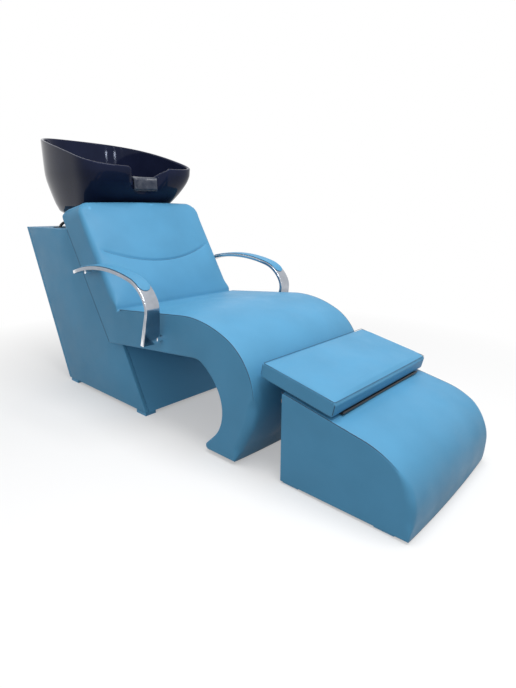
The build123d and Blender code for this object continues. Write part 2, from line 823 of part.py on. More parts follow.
def bowl_volume(wall):
    """The bowl's outer form for no wall, or its hollow for a wall."""
    height = bowl_top_z - bowl_bottom_z
    sections = []
    for height_share, front_share, rear_share, width_share, lift_share in bowl_section_shares:
        z = bowl_bottom_z + height_share * height + lift_share * wall
        front = bowl_front_x - front_share * bowl_length - wall
        rear = bowl_rear_x + rear_share * bowl_length + wall
        half_width = width_share * bowl_half_width - wall
        sides = [bowl_side(front, rear, half_width, side) for side in (1, -1)]
        sections.append(Plane.XY.offset(z) * make_face(sides))
    return loft(sections, ruled=True)


def bowl_pieces():
    """The ceramic bowl, neck rest, waste, tilt bracket, tap and hand shower."""
    dent_x = bowl_front_x - dent_depth + dent_radius
    tall = bowl_top_z - bowl_bottom_z + 2 * overrun
    dent = rod((dent_x, 0, bowl_bottom_z - overrun), (0, 0, 1), dent_radius, tall)
    inner_dent = rod((dent_x, 0, bowl_bottom_z - overrun), (0, 0, 1), dent_radius + bowl_wall, tall)
    outer = bowl_volume(0) - dent
    hollow = bowl_volume(bowl_wall) - inner_dent
    bowl = outer - hollow
    front = (bowl_front_x, bowl_front_z)
    rear = (bowl_rear_x, bowl_rear_z)
    middle = ((front[0] + rear[0]) / 2, (front[1] + rear[1]) / 2 + bowl_rim_arch)
    slope = (bowl_rear_z - bowl_front_z) / (bowl_rear_x - bowl_front_x)
    front_out = (front[0] + 2 * overrun, front[1] + 2 * overrun * slope)
    rear_out = (rear[0] - 2 * overrun, rear[1] - 2 * overrun * slope)
    above_z = bowl_top_z + bowl_wall + 2 * overrun
    rim_edges = [
        Line(front_out, front), ThreePointArc(front, middle, rear), Line(rear, rear_out),
        Line(rear_out, (rear_out[0], above_z)), Line((rear_out[0], above_z), (front_out[0], above_z)),
        Line((front_out[0], above_z), front_out),
    ]
    bowl = bowl - prism(rim_edges, -bowl_half_width - overrun, bowl_half_width + overrun)
    notch = Rectangle(2 * notch_half_width, bowl_half_width)
    notch = fillet(notch.vertices().sort_by(Axis.Y)[:2], notch_corner_radius)
    notch_centre = (bowl_front_x + overrun, 0, notch_lip_z + bowl_half_width / 2)
    notch_plane = Plane(origin=notch_centre, x_dir=(0, 1, 0), z_dir=(-1, 0, 0))
    bowl = bowl - extrude(notch_plane * notch, dent_depth + bowl_wall + 2 * overrun, dir=(-1, 0, 0))
    waste_axis = (waste_x, 0, bowl_bottom_z)
    bowl = bowl - rod(waste_axis, (0, 0, 1), drain_radius, bowl_wall)
    bowl = bowl - rod((tap_x, 0, bowl_bottom_z), (0, 0, 1), tap_shank_radius, bowl_wall)
    bush_length = bowl_wall + shower_bush_rise
    bowl = bowl - rod((shower_x, shower_y, bowl_bottom_z), (0, 0, 1), shower_bush_radius, bush_length)
    save("bowl", bowl)

    low = notch_lip_z - neck_rest_front
    inner_r = dent_radius - seat_gap
    outer_r = dent_radius + bowl_wall + seat_gap
    top = notch_lip_z + seat_gap
    neck_edges = outline(
        (inner_r - neck_rest_wall, low), (inner_r, low), (inner_r, top), (outer_r, top),
        (outer_r, notch_lip_z - neck_rest_back), (outer_r + neck_rest_wall, notch_lip_z - neck_rest_back),
        (outer_r + neck_rest_wall, top + neck_rest_wall), (inner_r - neck_rest_wall, top + neck_rest_wall),
    )
    profile = Plane(origin=(dent_x, 0, 0), x_dir=(-1, 0, 0), z_dir=(0, 1, 0)) * make_face(neck_edges)
    axis = Axis((dent_x, 0, 0), (0, 0, 1))
    rest = revolve(profile, axis, neck_rest_turn)
    rest = rest.rotate(axis, -neck_rest_turn / 2)
    save("neck_rest", rest)

    floor_z = bowl_bottom_z + bowl_wall
    strainer = rod((waste_x, 0, floor_z), (0, 0, 1), strainer_radius, strainer_rise)
    strainer = strainer + rod((waste_x, 0, bowl_bottom_z), (0, 0, 1), drain_radius - fit_gap, bowl_wall)
    for step in range(strainer_slots):
        turn = 2 * math.pi * step / strainer_slots
        across, along = strainer_slot_ring * math.sin(turn), strainer_slot_ring * math.cos(turn)
        place = (waste_x + along, across, bowl_bottom_z)
        strainer = strainer - rod(place, (0, 0, 1), strainer_slot_radius, bowl_wall + strainer_rise)
    save("waste_strainer", strainer)
    flange = rod((waste_x, 0, bowl_bottom_z), (0, 0, -1), waste_flange_radius, waste_flange)
    tail = rod(waste_axis, (0, 0, -1), drain_radius, bowl_bottom_z - waste_tail_z)
    bore = rod(waste_axis, (0, 0, -1), waste_bore_radius, bowl_bottom_z - waste_tail_z)
    save("waste_body", flange + tail - bore)

    tilt_bracket()
    tap_pieces(floor_z)

    bush_low = (shower_x, shower_y, bowl_bottom_z)
    bush = rod(bush_low, (0, 0, 1), shower_bush_radius - fit_gap, bush_length)
    save("shower_bush", bush - rod(bush_low, (0, 0, 1), shower_stem_radius + fit_gap, bush_length))
    bush_top = floor_z + shower_bush_rise
    stem = rod((shower_x, shower_y, floor_z), (0, 0, 1), shower_stem_radius, shower_bush_rise)
    handle = rod((shower_x, shower_y, bush_top), (0, 0, 1), shower_handle_radius, shower_handle_length)
    head_z = bush_top + shower_handle_length - shower_head_radius / 2
    head_x = shower_x - shower_head_length / 2
    head = rod((head_x, shower_y, head_z), (1, 0, 0), shower_head_radius, shower_head_length)
    save("hand_shower", stem + handle + head)


def tilt_bracket():
    """The steel bracket that carries the bowl, and its two pivot pins."""
    saddle_low = bowl_bottom_z - plate_steel
    saddle = block(
        (waste_x - saddle_half_length, -saddle_half_width, saddle_low),
        (waste_x + saddle_half_length, saddle_half_width, bowl_bottom_z),
    )
    base = block(
        (waste_x - base_half_length, -base_half_width, cabinet_height),
        (waste_x + base_half_length, base_half_width, cabinet_height + plate_steel),
    )
    outer_ear_y = saddle_ear_y + plate_steel + seat_gap
    pins = []
    for side in (-1, 1):
        low_y, high_y = sorted((side * saddle_ear_y, side * (saddle_ear_y + plate_steel)))
        saddle = saddle + block(
            (waste_x - ear_half_length, low_y, pivot_z - ear_drop),
            (waste_x + ear_half_length, high_y, saddle_low),
        )
        low_y, high_y = sorted((side * outer_ear_y, side * (outer_ear_y + plate_steel)))
        base = base + block(
            (waste_x - ear_half_length, low_y, cabinet_height),
            (waste_x + ear_half_length, high_y, pivot_z + ear_drop),
        )
        length = outer_ear_y + plate_steel - saddle_ear_y
        start = (waste_x, side * saddle_ear_y, pivot_z)
        hole = rod(start, (0, side, 0), pivot_radius + fit_gap, length)
        saddle = saddle - hole
        base = base - hole
        inner_head = rod(start, (0, -side, 0), pivot_head_radius, pivot_head_length)
        outer_start = (waste_x, side * (saddle_ear_y + length), pivot_z)
        outer_head = rod(outer_start, (0, side, 0), pivot_head_radius, pivot_head_length)
        pins.append(rod(start, (0, side, 0), pivot_radius, length) + inner_head + outer_head)
    saddle = saddle - rod((waste_x, 0, saddle_low), (0, 0, 1), saddle_hole_radius, plate_steel)
    base = base - rod((waste_x, 0, cabinet_height), (0, 0, 1), base_hole_radius, plate_steel)
    save("tilt_saddle", saddle)
    save("tilt_base", base)
    save("tilt_pins", *pins)


def tap_pieces(floor_z):
    """The tap in the bowl: body and spout, its nut below, and its two knobs."""
    body = rod((tap_x, 0, floor_z), (0, 0, 1), tap_radius, tap_height)
    spout = rod((tap_x, 0, floor_z + spout_height), (1, 0, 0), spout_radius, spout_length)
    shank = rod((tap_x, 0, floor_z), (0, 0, -1), tap_shank_radius - fit_gap, bowl_wall + tap_nut_length)
    body = body + spout + shank
    for name, side in (("hot_knob", 1), ("cold_knob", -1)):
        start = (tap_x, side * (tap_radius - spindle_radius), floor_z + knob_height)
        body = body + rod(start, (0, side, 0), spindle_radius, spindle_length)
        knob_start = (tap_x, side * (tap_radius + seat_gap), floor_z + knob_height)
        knob = rod(knob_start, (0, side, 0), knob_radius, knob_length)
        knob = knob - rod(knob_start, (0, side, 0), spindle_radius + fit_gap, spindle_length)
        save(name, knob)
    save("tap_body", body)
    nut = rod((tap_x, 0, bowl_bottom_z), (0, 0, -1), tap_nut_radius, tap_nut_length)
    nut = nut - rod((tap_x, 0, bowl_bottom_z), (0, 0, -1), tap_shank_radius, tap_nut_length)
    save("tap_nut", nut)


def shower_hose():
    """The hose from the hand shower's bush, down through the deck and up to the tap."""
    bush_low = bowl_bottom_z + bowl_wall - seat_gap
    points = [
        (shower_x, shower_y, bush_low), (shower_x, shower_y, bush_low - hose_drop),
        (grommet_x, grommet_y, cabinet_height + hose_rise), (grommet_x, grommet_y, hose_loop_z),
        (tap_x, 0, hose_loop_z), (tap_x, 0, bowl_bottom_z - tap_nut_length - seat_gap),
    ]
    radii = [hose_bend_radius, hose_bend_radius, hose_loop_radius, hose_loop_radius]
    path = FilletPolyline(*points, radius=radii)
    hose = sweep(Plane(origin=path @ 0, z_dir=path % 0) * Circle(hose_radius), path)
    section = math.pi * hose_radius**2
    print("hose length", round(path.length), "volume", round(hose.volume), round(path.length * section))
    save("shower_hose", hose)


# Side-view lines of the footrest
rest_legs = [
    ("line", rest_run), ("right", rest_shoulder_radius, rest_shoulder_turn),
    ("right", rest_nose_radius, rest_nose_turn), ("right", rest_shin_radius, rest_shin_turn),
    ("down", foot_height),
]
_, seat_front, _ = trail(crease, seat_slope, top_legs[:3])
rest_rear_x = seat_front[0] + rest_gap
rest_start = (rest_rear_x, rest_rear_z)


def rest_cushion_edges(rise, depth=rest_foam):
    """The footrest cover's outline, from the rear edge over the nose to the floor line."""
    tuck = math.tan(math.radians(rest_slope))
    top, top_end, _ = trail(rest_start, -rest_slope, rest_legs, shift=rise, lead=-rise * tuck)
    low, low_end, _ = trail(rest_start, -rest_slope, rest_legs, shift=-depth, lead=depth * tuck)
    return top + low + [Line(top_end, low_end), Line(top[0] @ 0, low[0] @ 0)]


def footrest_pieces():
    """Sides, padded top, deck, rear panel, rails and feet of the footrest."""
    half = rest_width / 2
    inner = half - rest_board
    depth = rest_foam + soft_gap
    tuck = math.tan(math.radians(rest_slope))
    low, low_end, _ = trail(rest_start, -rest_slope, rest_legs, shift=-depth, lead=depth * tuck)
    side_edges = joined(low, (rest_rear_x, foot_height))
    save("footrest_side_right", prism(side_edges, -half, -inner))
    save("footrest_side_left", prism(side_edges, inner, half))
    save("footrest_cushion", padded(rest_cushion_edges, half, rest_crown))
    core = prism(side_edges, -inner, inner)
    reach = depth + rest_deck_board
    under, under_end, _ = trail(rest_start, -rest_slope, rest_legs, shift=-reach, lead=reach * tuck)
    hollow = prism(joined(under, (rest_rear_x, foot_height)), -inner, inner)
    save("footrest_deck", core - hollow)
    panel_zone = block((rest_rear_x, -half, 0), (rest_rear_x + rest_rear_panel, half, rest_rear_z))
    save("footrest_rear_panel", hollow & panel_zone)
    rails = []
    rail_x = rest_rear_x + rest_rear_panel
    top_z = rest_rear_z - depth - rest_deck_board
    for low_z in (foot_height, top_z - 2 * rest_rail_height):
        high = (rail_x + rest_rail_depth, half, low_z + rest_rail_height)
        zone = block((rail_x, -half, low_z), high)
        rails.append(hollow & zone)
    low = (under_end[0] - rest_rail_depth, -half, foot_height)
    zone = block(low, (under_end[0] + overrun, half, foot_height + rest_rail_height))
    rails.append(hollow & zone)
    save("footrest_rails", *rails)
    feet = []
    rear_foot_x = rest_rear_x + rest_foot_inset
    front_foot_x = low_end[0] - rest_foot_inset - rest_foot_length
    for x in (rear_foot_x, front_foot_x):
        for side in (-1, 1):
            y = side * (half - rest_foot_inset - rest_foot_width / 2)
            feet.append(block(
                (x, y - rest_foot_width / 2, 0), (x + rest_foot_length, y + rest_foot_width / 2, foot_height)
            ))
    save("footrest_feet", *feet)


def flap_pieces():
    """The padded flap that bridges to the seat, its board and its hinge."""
    half = rest_width / 2
    rise = rest_crown + soft_gap + 2 * flap_leaf
    start = polar(polar(rest_start, -rest_slope, -flap_overhang), 90 - rest_slope, rise)
    end = polar(start, -rest_slope, flap_length)
    board = prism(outline(
        start, end, polar(end, 90 - rest_slope, flap_board), polar(start, 90 - rest_slope, flap_board)
    ), -half, half)
    base = polar(start, 90 - rest_slope, flap_board + soft_gap)

    def edges_at(rise_now):
        side_run = flap_foam - flap_edge_radius + rise_now
        legs = [
            ("line", side_run), ("right", flap_edge_radius, 90),
            ("line", flap_length - 2 * flap_edge_radius), ("right", flap_edge_radius, 90),
            ("line", side_run),
        ]
        top, _, _ = trail(base, 90 - rest_slope, legs)
        return joined(top)

    save("flap_cushion", padded(edges_at, half, flap_crown))
    leaf_point = polar(end, 90 - rest_slope, -flap_leaf)
    seat_plane = Plane(
        origin=(leaf_point[0], 0, leaf_point[1]),
        x_dir=(math.cos(math.radians(rest_slope)), 0, -math.sin(math.radians(rest_slope))),
        z_dir=(math.sin(math.radians(rest_slope)), 0, math.cos(math.radians(rest_slope))),
    )
    hinge_half = flap_hinge_length / 2
    lift = flap_knuckle_radius + fit_gap
    rise = flap_knuckle_radius - flap_leaf
    axis_start = (lift, -hinge_half, rise)
    upper_leaf = block((-flap_leaf_width, -hinge_half, 0), (lift, hinge_half, flap_leaf))
    lower_leaf = block((-flap_leaf_width, -hinge_half, -flap_leaf), (lift, hinge_half, 0))
    pitch = flap_hinge_length / flap_knuckles
    clear = rod(axis_start, (0, 1, 0), flap_knuckle_radius + flap_knuckle_gap, flap_hinge_length)
    upper_leaf = upper_leaf - clear
    lower_leaf = lower_leaf - clear
    for step in range(flap_knuckles):
        y = -hinge_half + step * pitch + flap_knuckle_gap / 2
        length = pitch - flap_knuckle_gap
        tube = rod((lift, y, rise), (0, 1, 0), flap_knuckle_radius, length)
        z_low = 0 if step % 2 else -flap_leaf
        neck = block((-flap_knuckle_radius, y, z_low), (lift, y + length, z_low + flap_leaf))
        if step % 2 == 0:
            lower_leaf = lower_leaf + tube + neck
        else:
            upper_leaf = upper_leaf + tube + neck
    bore = rod(axis_start, (0, 1, 0), flap_pin_radius + fit_gap, flap_hinge_length)
    pin = rod(axis_start, (0, 1, 0), flap_pin_radius, flap_hinge_length)
    save("flap_leaf", seat_plane * (upper_leaf - bore))
    save("footrest_leaf", seat_plane * (lower_leaf - bore))
    save("flap_hinge_pin", seat_plane * pin)
    save("flap_board", board)
    print("flap hinge axis at", (seat_plane * Pos(lift, 0, rise)).position)


os.makedirs("parts", exist_ok=True)
seat_pieces()
cabinet_pieces()
door_pieces()
arm_pieces()
bowl_pieces()
shower_hose()
footrest_pieces()
flap_pieces()
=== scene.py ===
import math

import bmesh
import bpy
from mathutils import Matrix, Vector


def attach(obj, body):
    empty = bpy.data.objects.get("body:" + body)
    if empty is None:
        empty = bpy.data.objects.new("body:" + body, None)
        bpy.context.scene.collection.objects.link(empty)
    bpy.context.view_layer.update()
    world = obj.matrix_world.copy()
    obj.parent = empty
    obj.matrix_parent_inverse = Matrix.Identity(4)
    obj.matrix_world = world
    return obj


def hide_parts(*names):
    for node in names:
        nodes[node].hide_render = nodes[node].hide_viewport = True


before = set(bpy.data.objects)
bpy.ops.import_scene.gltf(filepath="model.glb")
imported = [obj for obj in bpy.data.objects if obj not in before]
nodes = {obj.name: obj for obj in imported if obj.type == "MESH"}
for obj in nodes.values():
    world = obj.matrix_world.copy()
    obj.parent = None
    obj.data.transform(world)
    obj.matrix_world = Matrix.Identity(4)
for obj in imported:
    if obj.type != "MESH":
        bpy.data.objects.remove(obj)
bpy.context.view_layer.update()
scene = bpy.context.scene
scene.view_settings.view_transform = "Standard"
MM = 0.001


# Camera, as solved from the photograph, in metres and degrees
camera_place = (1.23585, -1.12885, 0.72161)
camera_azimuth, camera_elevation, camera_roll = 42.08, 16.19, 0.27
camera_lens, camera_sensor = 24.495, 36


def photo_camera():
    data = bpy.data.cameras.new("camera")
    data.lens = camera_lens
    data.sensor_width = camera_sensor
    data.dof.use_dof = False
    cam = bpy.data.objects.new("camera", data)
    scene.collection.objects.link(cam)
    az, el = math.radians(camera_azimuth), math.radians(camera_elevation)
    roll = math.radians(camera_roll)
    right = Vector((math.cos(az), math.sin(az), 0))
    back = Vector((math.sin(az) * math.cos(el), -math.cos(az) * math.cos(el), math.sin(el)))
    up = back.cross(right)
    rolled_right = right * math.cos(roll) + up * math.sin(roll)
    rolled_up = up * math.cos(roll) - right * math.sin(roll)
    turn = Matrix((rolled_right, rolled_up, back)).transposed().to_4x4()
    cam.matrix_world = Matrix.Translation(camera_place) @ turn
    scene.camera = cam


photo_camera()


# Materials
class Shader:
    """A small helper that wires up a node material."""

    def __init__(self, name, base, roughness, **values):
        self.mat = bpy.data.materials.new(name)
        self.mat.use_nodes = True
        self.tree = self.mat.node_tree
        self.main = self.tree.nodes["Principled BSDF"]
        self.main.inputs["Base Color"].default_value = (*base, 1)
        self.main.inputs["Roughness"].default_value = roughness
        for key, value in values.items():
            self.main.inputs[key.replace("_", " ")].default_value = value
        self.place = self.add("ShaderNodeTexCoord").outputs["Object"]
        self.bump = None

    def add(self, kind, **props):
        node = self.tree.nodes.new(kind)
        for key, value in props.items():
            setattr(node, key, value)
        return node

    def link(self, a, b):
        self.tree.links.new(a, b)

    def stretched(self, scale):
        node = self.add("ShaderNodeMapping")
        node.inputs["Scale"].default_value = scale
        self.link(self.place, node.inputs["Vector"])
        return node.outputs["Vector"]

    def noise(self, scale, detail=3, stretch=None):
        node = self.add("ShaderNodeTexNoise")
        node.inputs["Scale"].default_value = scale
        node.inputs["Detail"].default_value = detail
        self.link(self.stretched(stretch) if stretch else self.place, node.inputs["Vector"])
        return node.outputs["Fac"]

    def cells(self, scale):
        node = self.add("ShaderNodeTexVoronoi", feature="DISTANCE_TO_EDGE")
        node.inputs["Scale"].default_value = scale
        self.link(self.place, node.inputs["Vector"])
        return node.outputs["Distance"]

    def ramp(self, source, low, high, at=(0.3, 0.7)):
        node = self.add("ShaderNodeMapRange")
        node.inputs["From Min"].default_value = at[0]
        node.inputs["From Max"].default_value = at[1]
        node.inputs["To Min"].default_value = low
        node.inputs["To Max"].default_value = high
        self.link(source, node.inputs["Value"])
        return node.outputs["Result"]

    def raise_by(self, source, strength, distance):
        node = self.add("ShaderNodeBump")
        node.inputs["Strength"].default_value = strength
        node.inputs["Distance"].default_value = distance
        self.link(source, node.inputs["Height"])
        if self.bump:
            self.link(self.bump, node.inputs["Normal"])
        self.bump = node.outputs["Normal"]
        self.link(self.bump, self.main.inputs["Normal"])

    def tint(self, source, a, b, onto="Base Color"):
        node = self.add("ShaderNodeMix", data_type="RGBA")
        node.inputs["A"].default_value = (*a, 1)
        node.inputs["B"].default_value = (*b, 1)
        self.link(source, node.inputs["Factor"])
        self.link(node.outputs["Result"], self.main.inputs[onto])
        return node

    def edges(self, low, high):
        node = self.add("ShaderNodeNewGeometry")
        return self.ramp(node.outputs["Pointiness"], 0, 1, (low, high))

    def rough(self, source, low, high):
        self.link(self.ramp(source, low, high), self.main.inputs["Roughness"])


def vinyl(name, base):
    s = Shader(name, base, 0.45, Specular_IOR_Level=0.2)
    darker = tuple(c * 0.93 for c in base)
    lighter = tuple(min(1, c * 1.06) for c in base)
    mixed = s.tint(s.ramp(s.noise(5.5, 4), 0, 1), darker, lighter)
    edge_wear_and_highlight = s.add("ShaderNodeMix", data_type="RGBA")
    edge_wear_and_highlight.inputs["B"].default_value = (*[min(1, c * 1.18 + 0.01) for c in base], 1)
    s.link(mixed.outputs["Result"], edge_wear_and_highlight.inputs["A"])
    s.link(s.edges(0.52, 0.62), edge_wear_and_highlight.inputs["Factor"])
    s.link(edge_wear_and_highlight.outputs["Result"], s.main.inputs["Base Color"])
    s.rough(s.noise(14, 3), 0.40, 0.52)
    s.raise_by(s.noise(9, 2), 0.10, 0.004)
    s.raise_by(s.ramp(s.cells(620), 0, 1, (0, 0.35)), 0.28, 0.00035)
    s.raise_by(s.noise(1500, 2), 0.12, 0.0002)
    return s.mat


def ceramic():
    s = Shader("bowl_glaze", (0.009, 0.013, 0.034), 0.06, Specular_IOR_Level=0.12,
               Specular_Tint=(0.72, 0.80, 1.0, 1))
    s.tint(s.ramp(s.noise(9, 3), 0, 1), (0.008, 0.011, 0.030), (0.012, 0.016, 0.042))
    s.rough(s.noise(24, 3), 0.04, 0.08)
    s.raise_by(s.noise(34, 2), 0.04, 0.0008)
    return s.mat


def polished(name, base, rough, grain):
    s = Shader(name, base, rough, Metallic=1)
    s.tint(s.ramp(s.noise(22, 3), 0, 1), tuple(c * 0.9 for c in base), base)
    s.rough(s.noise(60, 4), rough * 0.8, rough * 1.5)
    s.raise_by(s.noise(700, 3, grain), 0.05, 0.0002)
    s.raise_by(s.noise(12, 2), 0.12, 0.002)
    return s.mat


def cast_metal():
    """Armrest metal: dark, mirror-like faces, with edges made brighter as a painted highlight."""
    s = Shader("arm_aluminium", (0.34, 0.37, 0.42), 0.14, Metallic=1)
    mixed = s.tint(s.ramp(s.noise(22, 3), 0, 1), (0.27, 0.30, 0.35), (0.38, 0.41, 0.46))
    # Painted highlight: convex edges are lightened towards bright metal where they catch the light
    edge_wear_and_highlight = s.add("ShaderNodeMix", data_type="RGBA")
    edge_wear_and_highlight.inputs["B"].default_value = (0.92, 0.93, 0.95, 1)
    s.link(mixed.outputs["Result"], edge_wear_and_highlight.inputs["A"])
    s.link(s.edges(0.505, 0.56), edge_wear_and_highlight.inputs["Factor"])
    s.link(edge_wear_and_highlight.outputs["Result"], s.main.inputs["Base Color"])
    s.rough(s.noise(60, 4), 0.10, 0.22)
    s.raise_by(s.noise(700, 3, (1, 14, 1)), 0.05, 0.0002)
    s.raise_by(s.noise(12, 2), 0.12, 0.002)
    return s.mat


def moulded(name, base, rough, bump_scale=400, strength=0.12, **values):
    s = Shader(name, base, rough, **values)
    s.tint(s.ramp(s.noise(18, 3), 0, 1), tuple(c * 0.85 for c in base), tuple(c * 1.1 for c in base))
    s.rough(s.noise(40, 3), rough * 0.85, min(1, rough * 1.15))
    s.raise_by(s.noise(bump_scale, 3), strength, 0.0004)
    return s.mat


def gel():
    s = Shader("neck_gel", (0.03, 0.038, 0.055), 0.34, Specular_IOR_Level=0.35)
    s.tint(s.ramp(s.noise(45, 4), 0, 1), (0.014, 0.021, 0.040), (0.058, 0.066, 0.088))
    s.rough(s.noise(80, 3), 0.22, 0.42)
    s.raise_by(s.noise(90, 3), 0.18, 0.001)
    return s.mat


def plywood():
    s = Shader("plywood", (0.46, 0.33, 0.20), 0.65)
    s.tint(s.ramp(s.noise(30, 5, (1, 8, 8)), 0, 1), (0.36, 0.24, 0.14), (0.55, 0.41, 0.26))
    s.rough(s.noise(30, 3), 0.55, 0.75)
    s.raise_by(s.noise(200, 3, (1, 12, 12)), 0.2, 0.0004)
    return s.mat


def shown_rays(tree):
    """1 for rays from the camera, a mirror or glass, which see the white backdrop, otherwise 0."""
    rays = tree.nodes.new("ShaderNodeLightPath")
    total = rays.outputs["Is Camera Ray"]
    for name in ("Is Glossy Ray", "Is Transmission Ray"):
        node = tree.nodes.new("ShaderNodeMath")
        node.operation = "MAXIMUM"
        tree.links.new(total, node.inputs[0])
        tree.links.new(rays.outputs[name], node.inputs[1])
        total = node.outputs["Value"]
    return total


def studio_floor():
    """A pale floor that turns to the plain white backdrop away from the object."""
    s = Shader("studio_floor", (0.8, 0.8, 0.8), 0.9, Specular_IOR_Level=0.1)
    shown = shown_rays(s.tree)
    s.tint(shown, (0.22, 0.22, 0.225), (0.84, 0.84, 0.84))
    away = s.add("ShaderNodeVectorMath", operation="LENGTH")
    s.link(s.place, away.inputs[0])
    share = s.add("ShaderNodeMath", operation="MULTIPLY")
    s.link(s.ramp(away.outputs["Value"], 0.35, 1, (0.75, 1.9)), share.inputs[0])
    s.link(shown, share.inputs[1])
    white = s.add("ShaderNodeEmission")
    mixed = s.add("ShaderNodeMixShader")
    s.link(share.outputs["Value"], mixed.inputs[0])
    s.link(s.main.outputs["BSDF"], mixed.inputs[1])
    s.link(white.outputs["Emission"], mixed.inputs[2])
    s.link(mixed.outputs["Shader"], s.tree.nodes["Material Output"].inputs["Surface"])
    return s.mat


BLUE = (0.081, 0.280, 0.470)
# Painted shade: the dark colour of the welts and seams stands in for the shadow in the seam, on welts
# made of the blue vinyl
SEAM_SHADE = (0.016, 0.050, 0.095)
looks = {
    "vinyl": vinyl("blue_vinyl", BLUE),
    "seam": moulded("seam_shadow", SEAM_SHADE, 0.6, 900, 0.3),
    "thread": moulded("stitch_thread", (0.07, 0.20, 0.33), 0.8, 1800, 0.4),
    "bowl": ceramic(),
    "gel": gel(),
    "arm": cast_metal(),
    "chrome": polished("tap_chrome", (0.86, 0.87, 0.89), 0.06, (1, 1, 8)),
    "steel": polished("bracket_steel", (0.50, 0.51, 0.53), 0.32, (12, 1, 1)),
    "brass": polished("inlet_brass", (0.62, 0.44, 0.18), 0.25, (1, 9, 9)),
    "black": moulded("black_plastic", (0.012, 0.012, 0.014), 0.42),
    "hose": moulded("black_hose", (0.008, 0.008, 0.010), 0.35, 500, 0.25),
    "board": plywood(),
    "floor": studio_floor(),
}


def paint(obj, look):
    obj.data.materials.clear()
    obj.data.materials.append(looks[look])


def repaint(node, look):
    obj = nodes[node]
    if not obj.material_slots:
        obj.data.materials.append(None)
    for entry in obj.material_slots:
        entry.material = looks[look]


def new_piece(name, mesh, look, body, stands_for=()):
    for face in mesh.polygons:
        face.use_smooth = True
    obj = bpy.data.objects.new(name, mesh)
    scene.collection.objects.link(obj)
    paint(obj, look)
    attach(obj, body)
    if stands_for:
        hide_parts(*stands_for)
    return obj


# Side-view lines, in millimetres, as lines and arcs
def polar(point, heading, distance):
    turn = math.radians(heading)
    return (point[0] + distance * math.cos(turn), point[1] + distance * math.sin(turn))


def meet(a, heading_a, b, heading_b):
    ax, az = math.cos(math.radians(heading_a)), math.sin(math.radians(heading_a))
    bx, bz = math.cos(math.radians(heading_b)), math.sin(math.radians(heading_b))
    dx, dz = b[0] - a[0], b[1] - a[1]
    return polar(a, heading_a, (dx * bz - dz * bx) / (ax * bz - az * bx))


def trail(start, heading, legs, shift=0, step=8, lead=0):
    """Points along a path of lines and arcs, moved to its left by shift."""
    here = polar(polar(start, heading + 90, shift), heading, -lead)
    points = [here]
    for kind, *sizes in legs:
        if kind in ("line", "down"):
            length = sizes[0] + lead
            if kind == "down":
                length = (sizes[0] - here[1]) / math.sin(math.radians(heading))
            count = max(1, round(length / step))
            points += [polar(here, heading, length * (k + 1) / count) for k in range(count)]
        else:
            side = 1 if kind == "left" else -1
            radius = sizes[0] - side * shift
            centre = polar(here, heading + side * 90, radius)
            count = max(3, round(radius * math.radians(sizes[1]) / step))
            for k in range(count):
                turn = heading - side * 90 + side * sizes[1] * (k + 1) / count
                points.append(polar(centre, turn, radius))
            heading += side * sizes[1]
        here = points[-1]
        lead = 0
    return points, heading


def between(a, b, step=8):
    count = max(1, round(math.dist(a, b) / step))
    return [(a[0] + (b[0] - a[0]) * k / count, a[1] + (b[1] - a[1]) * k / count) for k in range(1, count)]


def tube(name, points, radius, loop=False, taper=0):
    """A thin round strip along points given in metres, such as a welt, thinning out at its end."""
    curve = bpy.data.curves.new(name, "CURVE")
    curve.dimensions = "3D"
    curve.bevel_depth = radius
    curve.bevel_resolution = 2
    curve.use_fill_caps = True
    line = curve.splines.new("POLY")
    line.points.add(len(points) - 1)
    for spot, place in zip(line.points, points):
        spot.co = (*place, 1)
    for k in range(taper):
        line.points[-1 - k].radius = 0.1 + 0.9 * k / taper
    line.use_cyclic_u = loop
    holder = bpy.data.objects.new(name, curve)
    mesh = bpy.data.meshes.new_from_object(holder)
    bpy.data.objects.remove(holder)
    return mesh


def skin(name, rows, finish=None):
    """A closed skin over rows of points in millimetres, where each row is a ring."""
    mesh = bmesh.new()
    across, along = len(rows[0]), len(rows) - 1
    bmesh.ops.create_grid(mesh, x_segments=across, y_segments=along, size=1)
    for vert in mesh.verts:
        place = round((vert.co.x + 1) / 2 * across) % across
        row = rows[round((vert.co.y + 1) / 2 * along)]
        vert.co = Vector(row[place]) * MM
    bmesh.ops.remove_doubles(mesh, verts=mesh.verts, dist=1e-7)
    bmesh.ops.holes_fill(mesh, edges=[edge for edge in mesh.edges if edge.is_boundary], sides=0)
    if finish:
        finish(mesh)
    bmesh.ops.recalc_face_normals(mesh, faces=mesh.faces)
    data = bpy.data.meshes.new(name)
    mesh.to_mesh(data)
    mesh.free()
    return data


def puff(mesh, pinned, cap, pressure=4.0, frames=14):
    """Cloth under pressure on a copy of the mesh: points that aren't pinned swell by up to cap mm."""
    work = bpy.data.objects.new("work", mesh.copy())
    scene.collection.objects.link(work)
    group = work.vertex_groups.new(name="pin")
    group.add([v.index for v in mesh.vertices if pinned(v.co)], 1.0, "REPLACE")
    cloth = work.modifiers.new("cloth", "CLOTH")
    cloth.settings.vertex_group_mass = "pin"
    cloth.settings.use_pressure = True
    cloth.settings.uniform_pressure_force = pressure
    cloth.settings.effector_weights.gravity = 0
    cloth.settings.quality = 5
    cloth.point_cache.frame_start = 1
    cloth.point_cache.frame_end = frames
    for step in range(1, frames + 1):
        scene.frame_set(step)
    swollen = work.evaluated_get(bpy.context.evaluated_depsgraph_get())
    for rest, moved in zip(mesh.vertices, swollen.data.vertices):
        move = moved.co - rest.co
        if move.length > 1e-7:
            rest.co += move.normalized() * cap * MM * math.tanh(move.length / (cap * MM))
    scene.frame_set(1)
    bpy.data.objects.remove(work)


def smooth(value, low, high):
    t = max(0.0, min(1.0, (value - low) / (high - low)))
    return t * t * (3 - 2 * t)


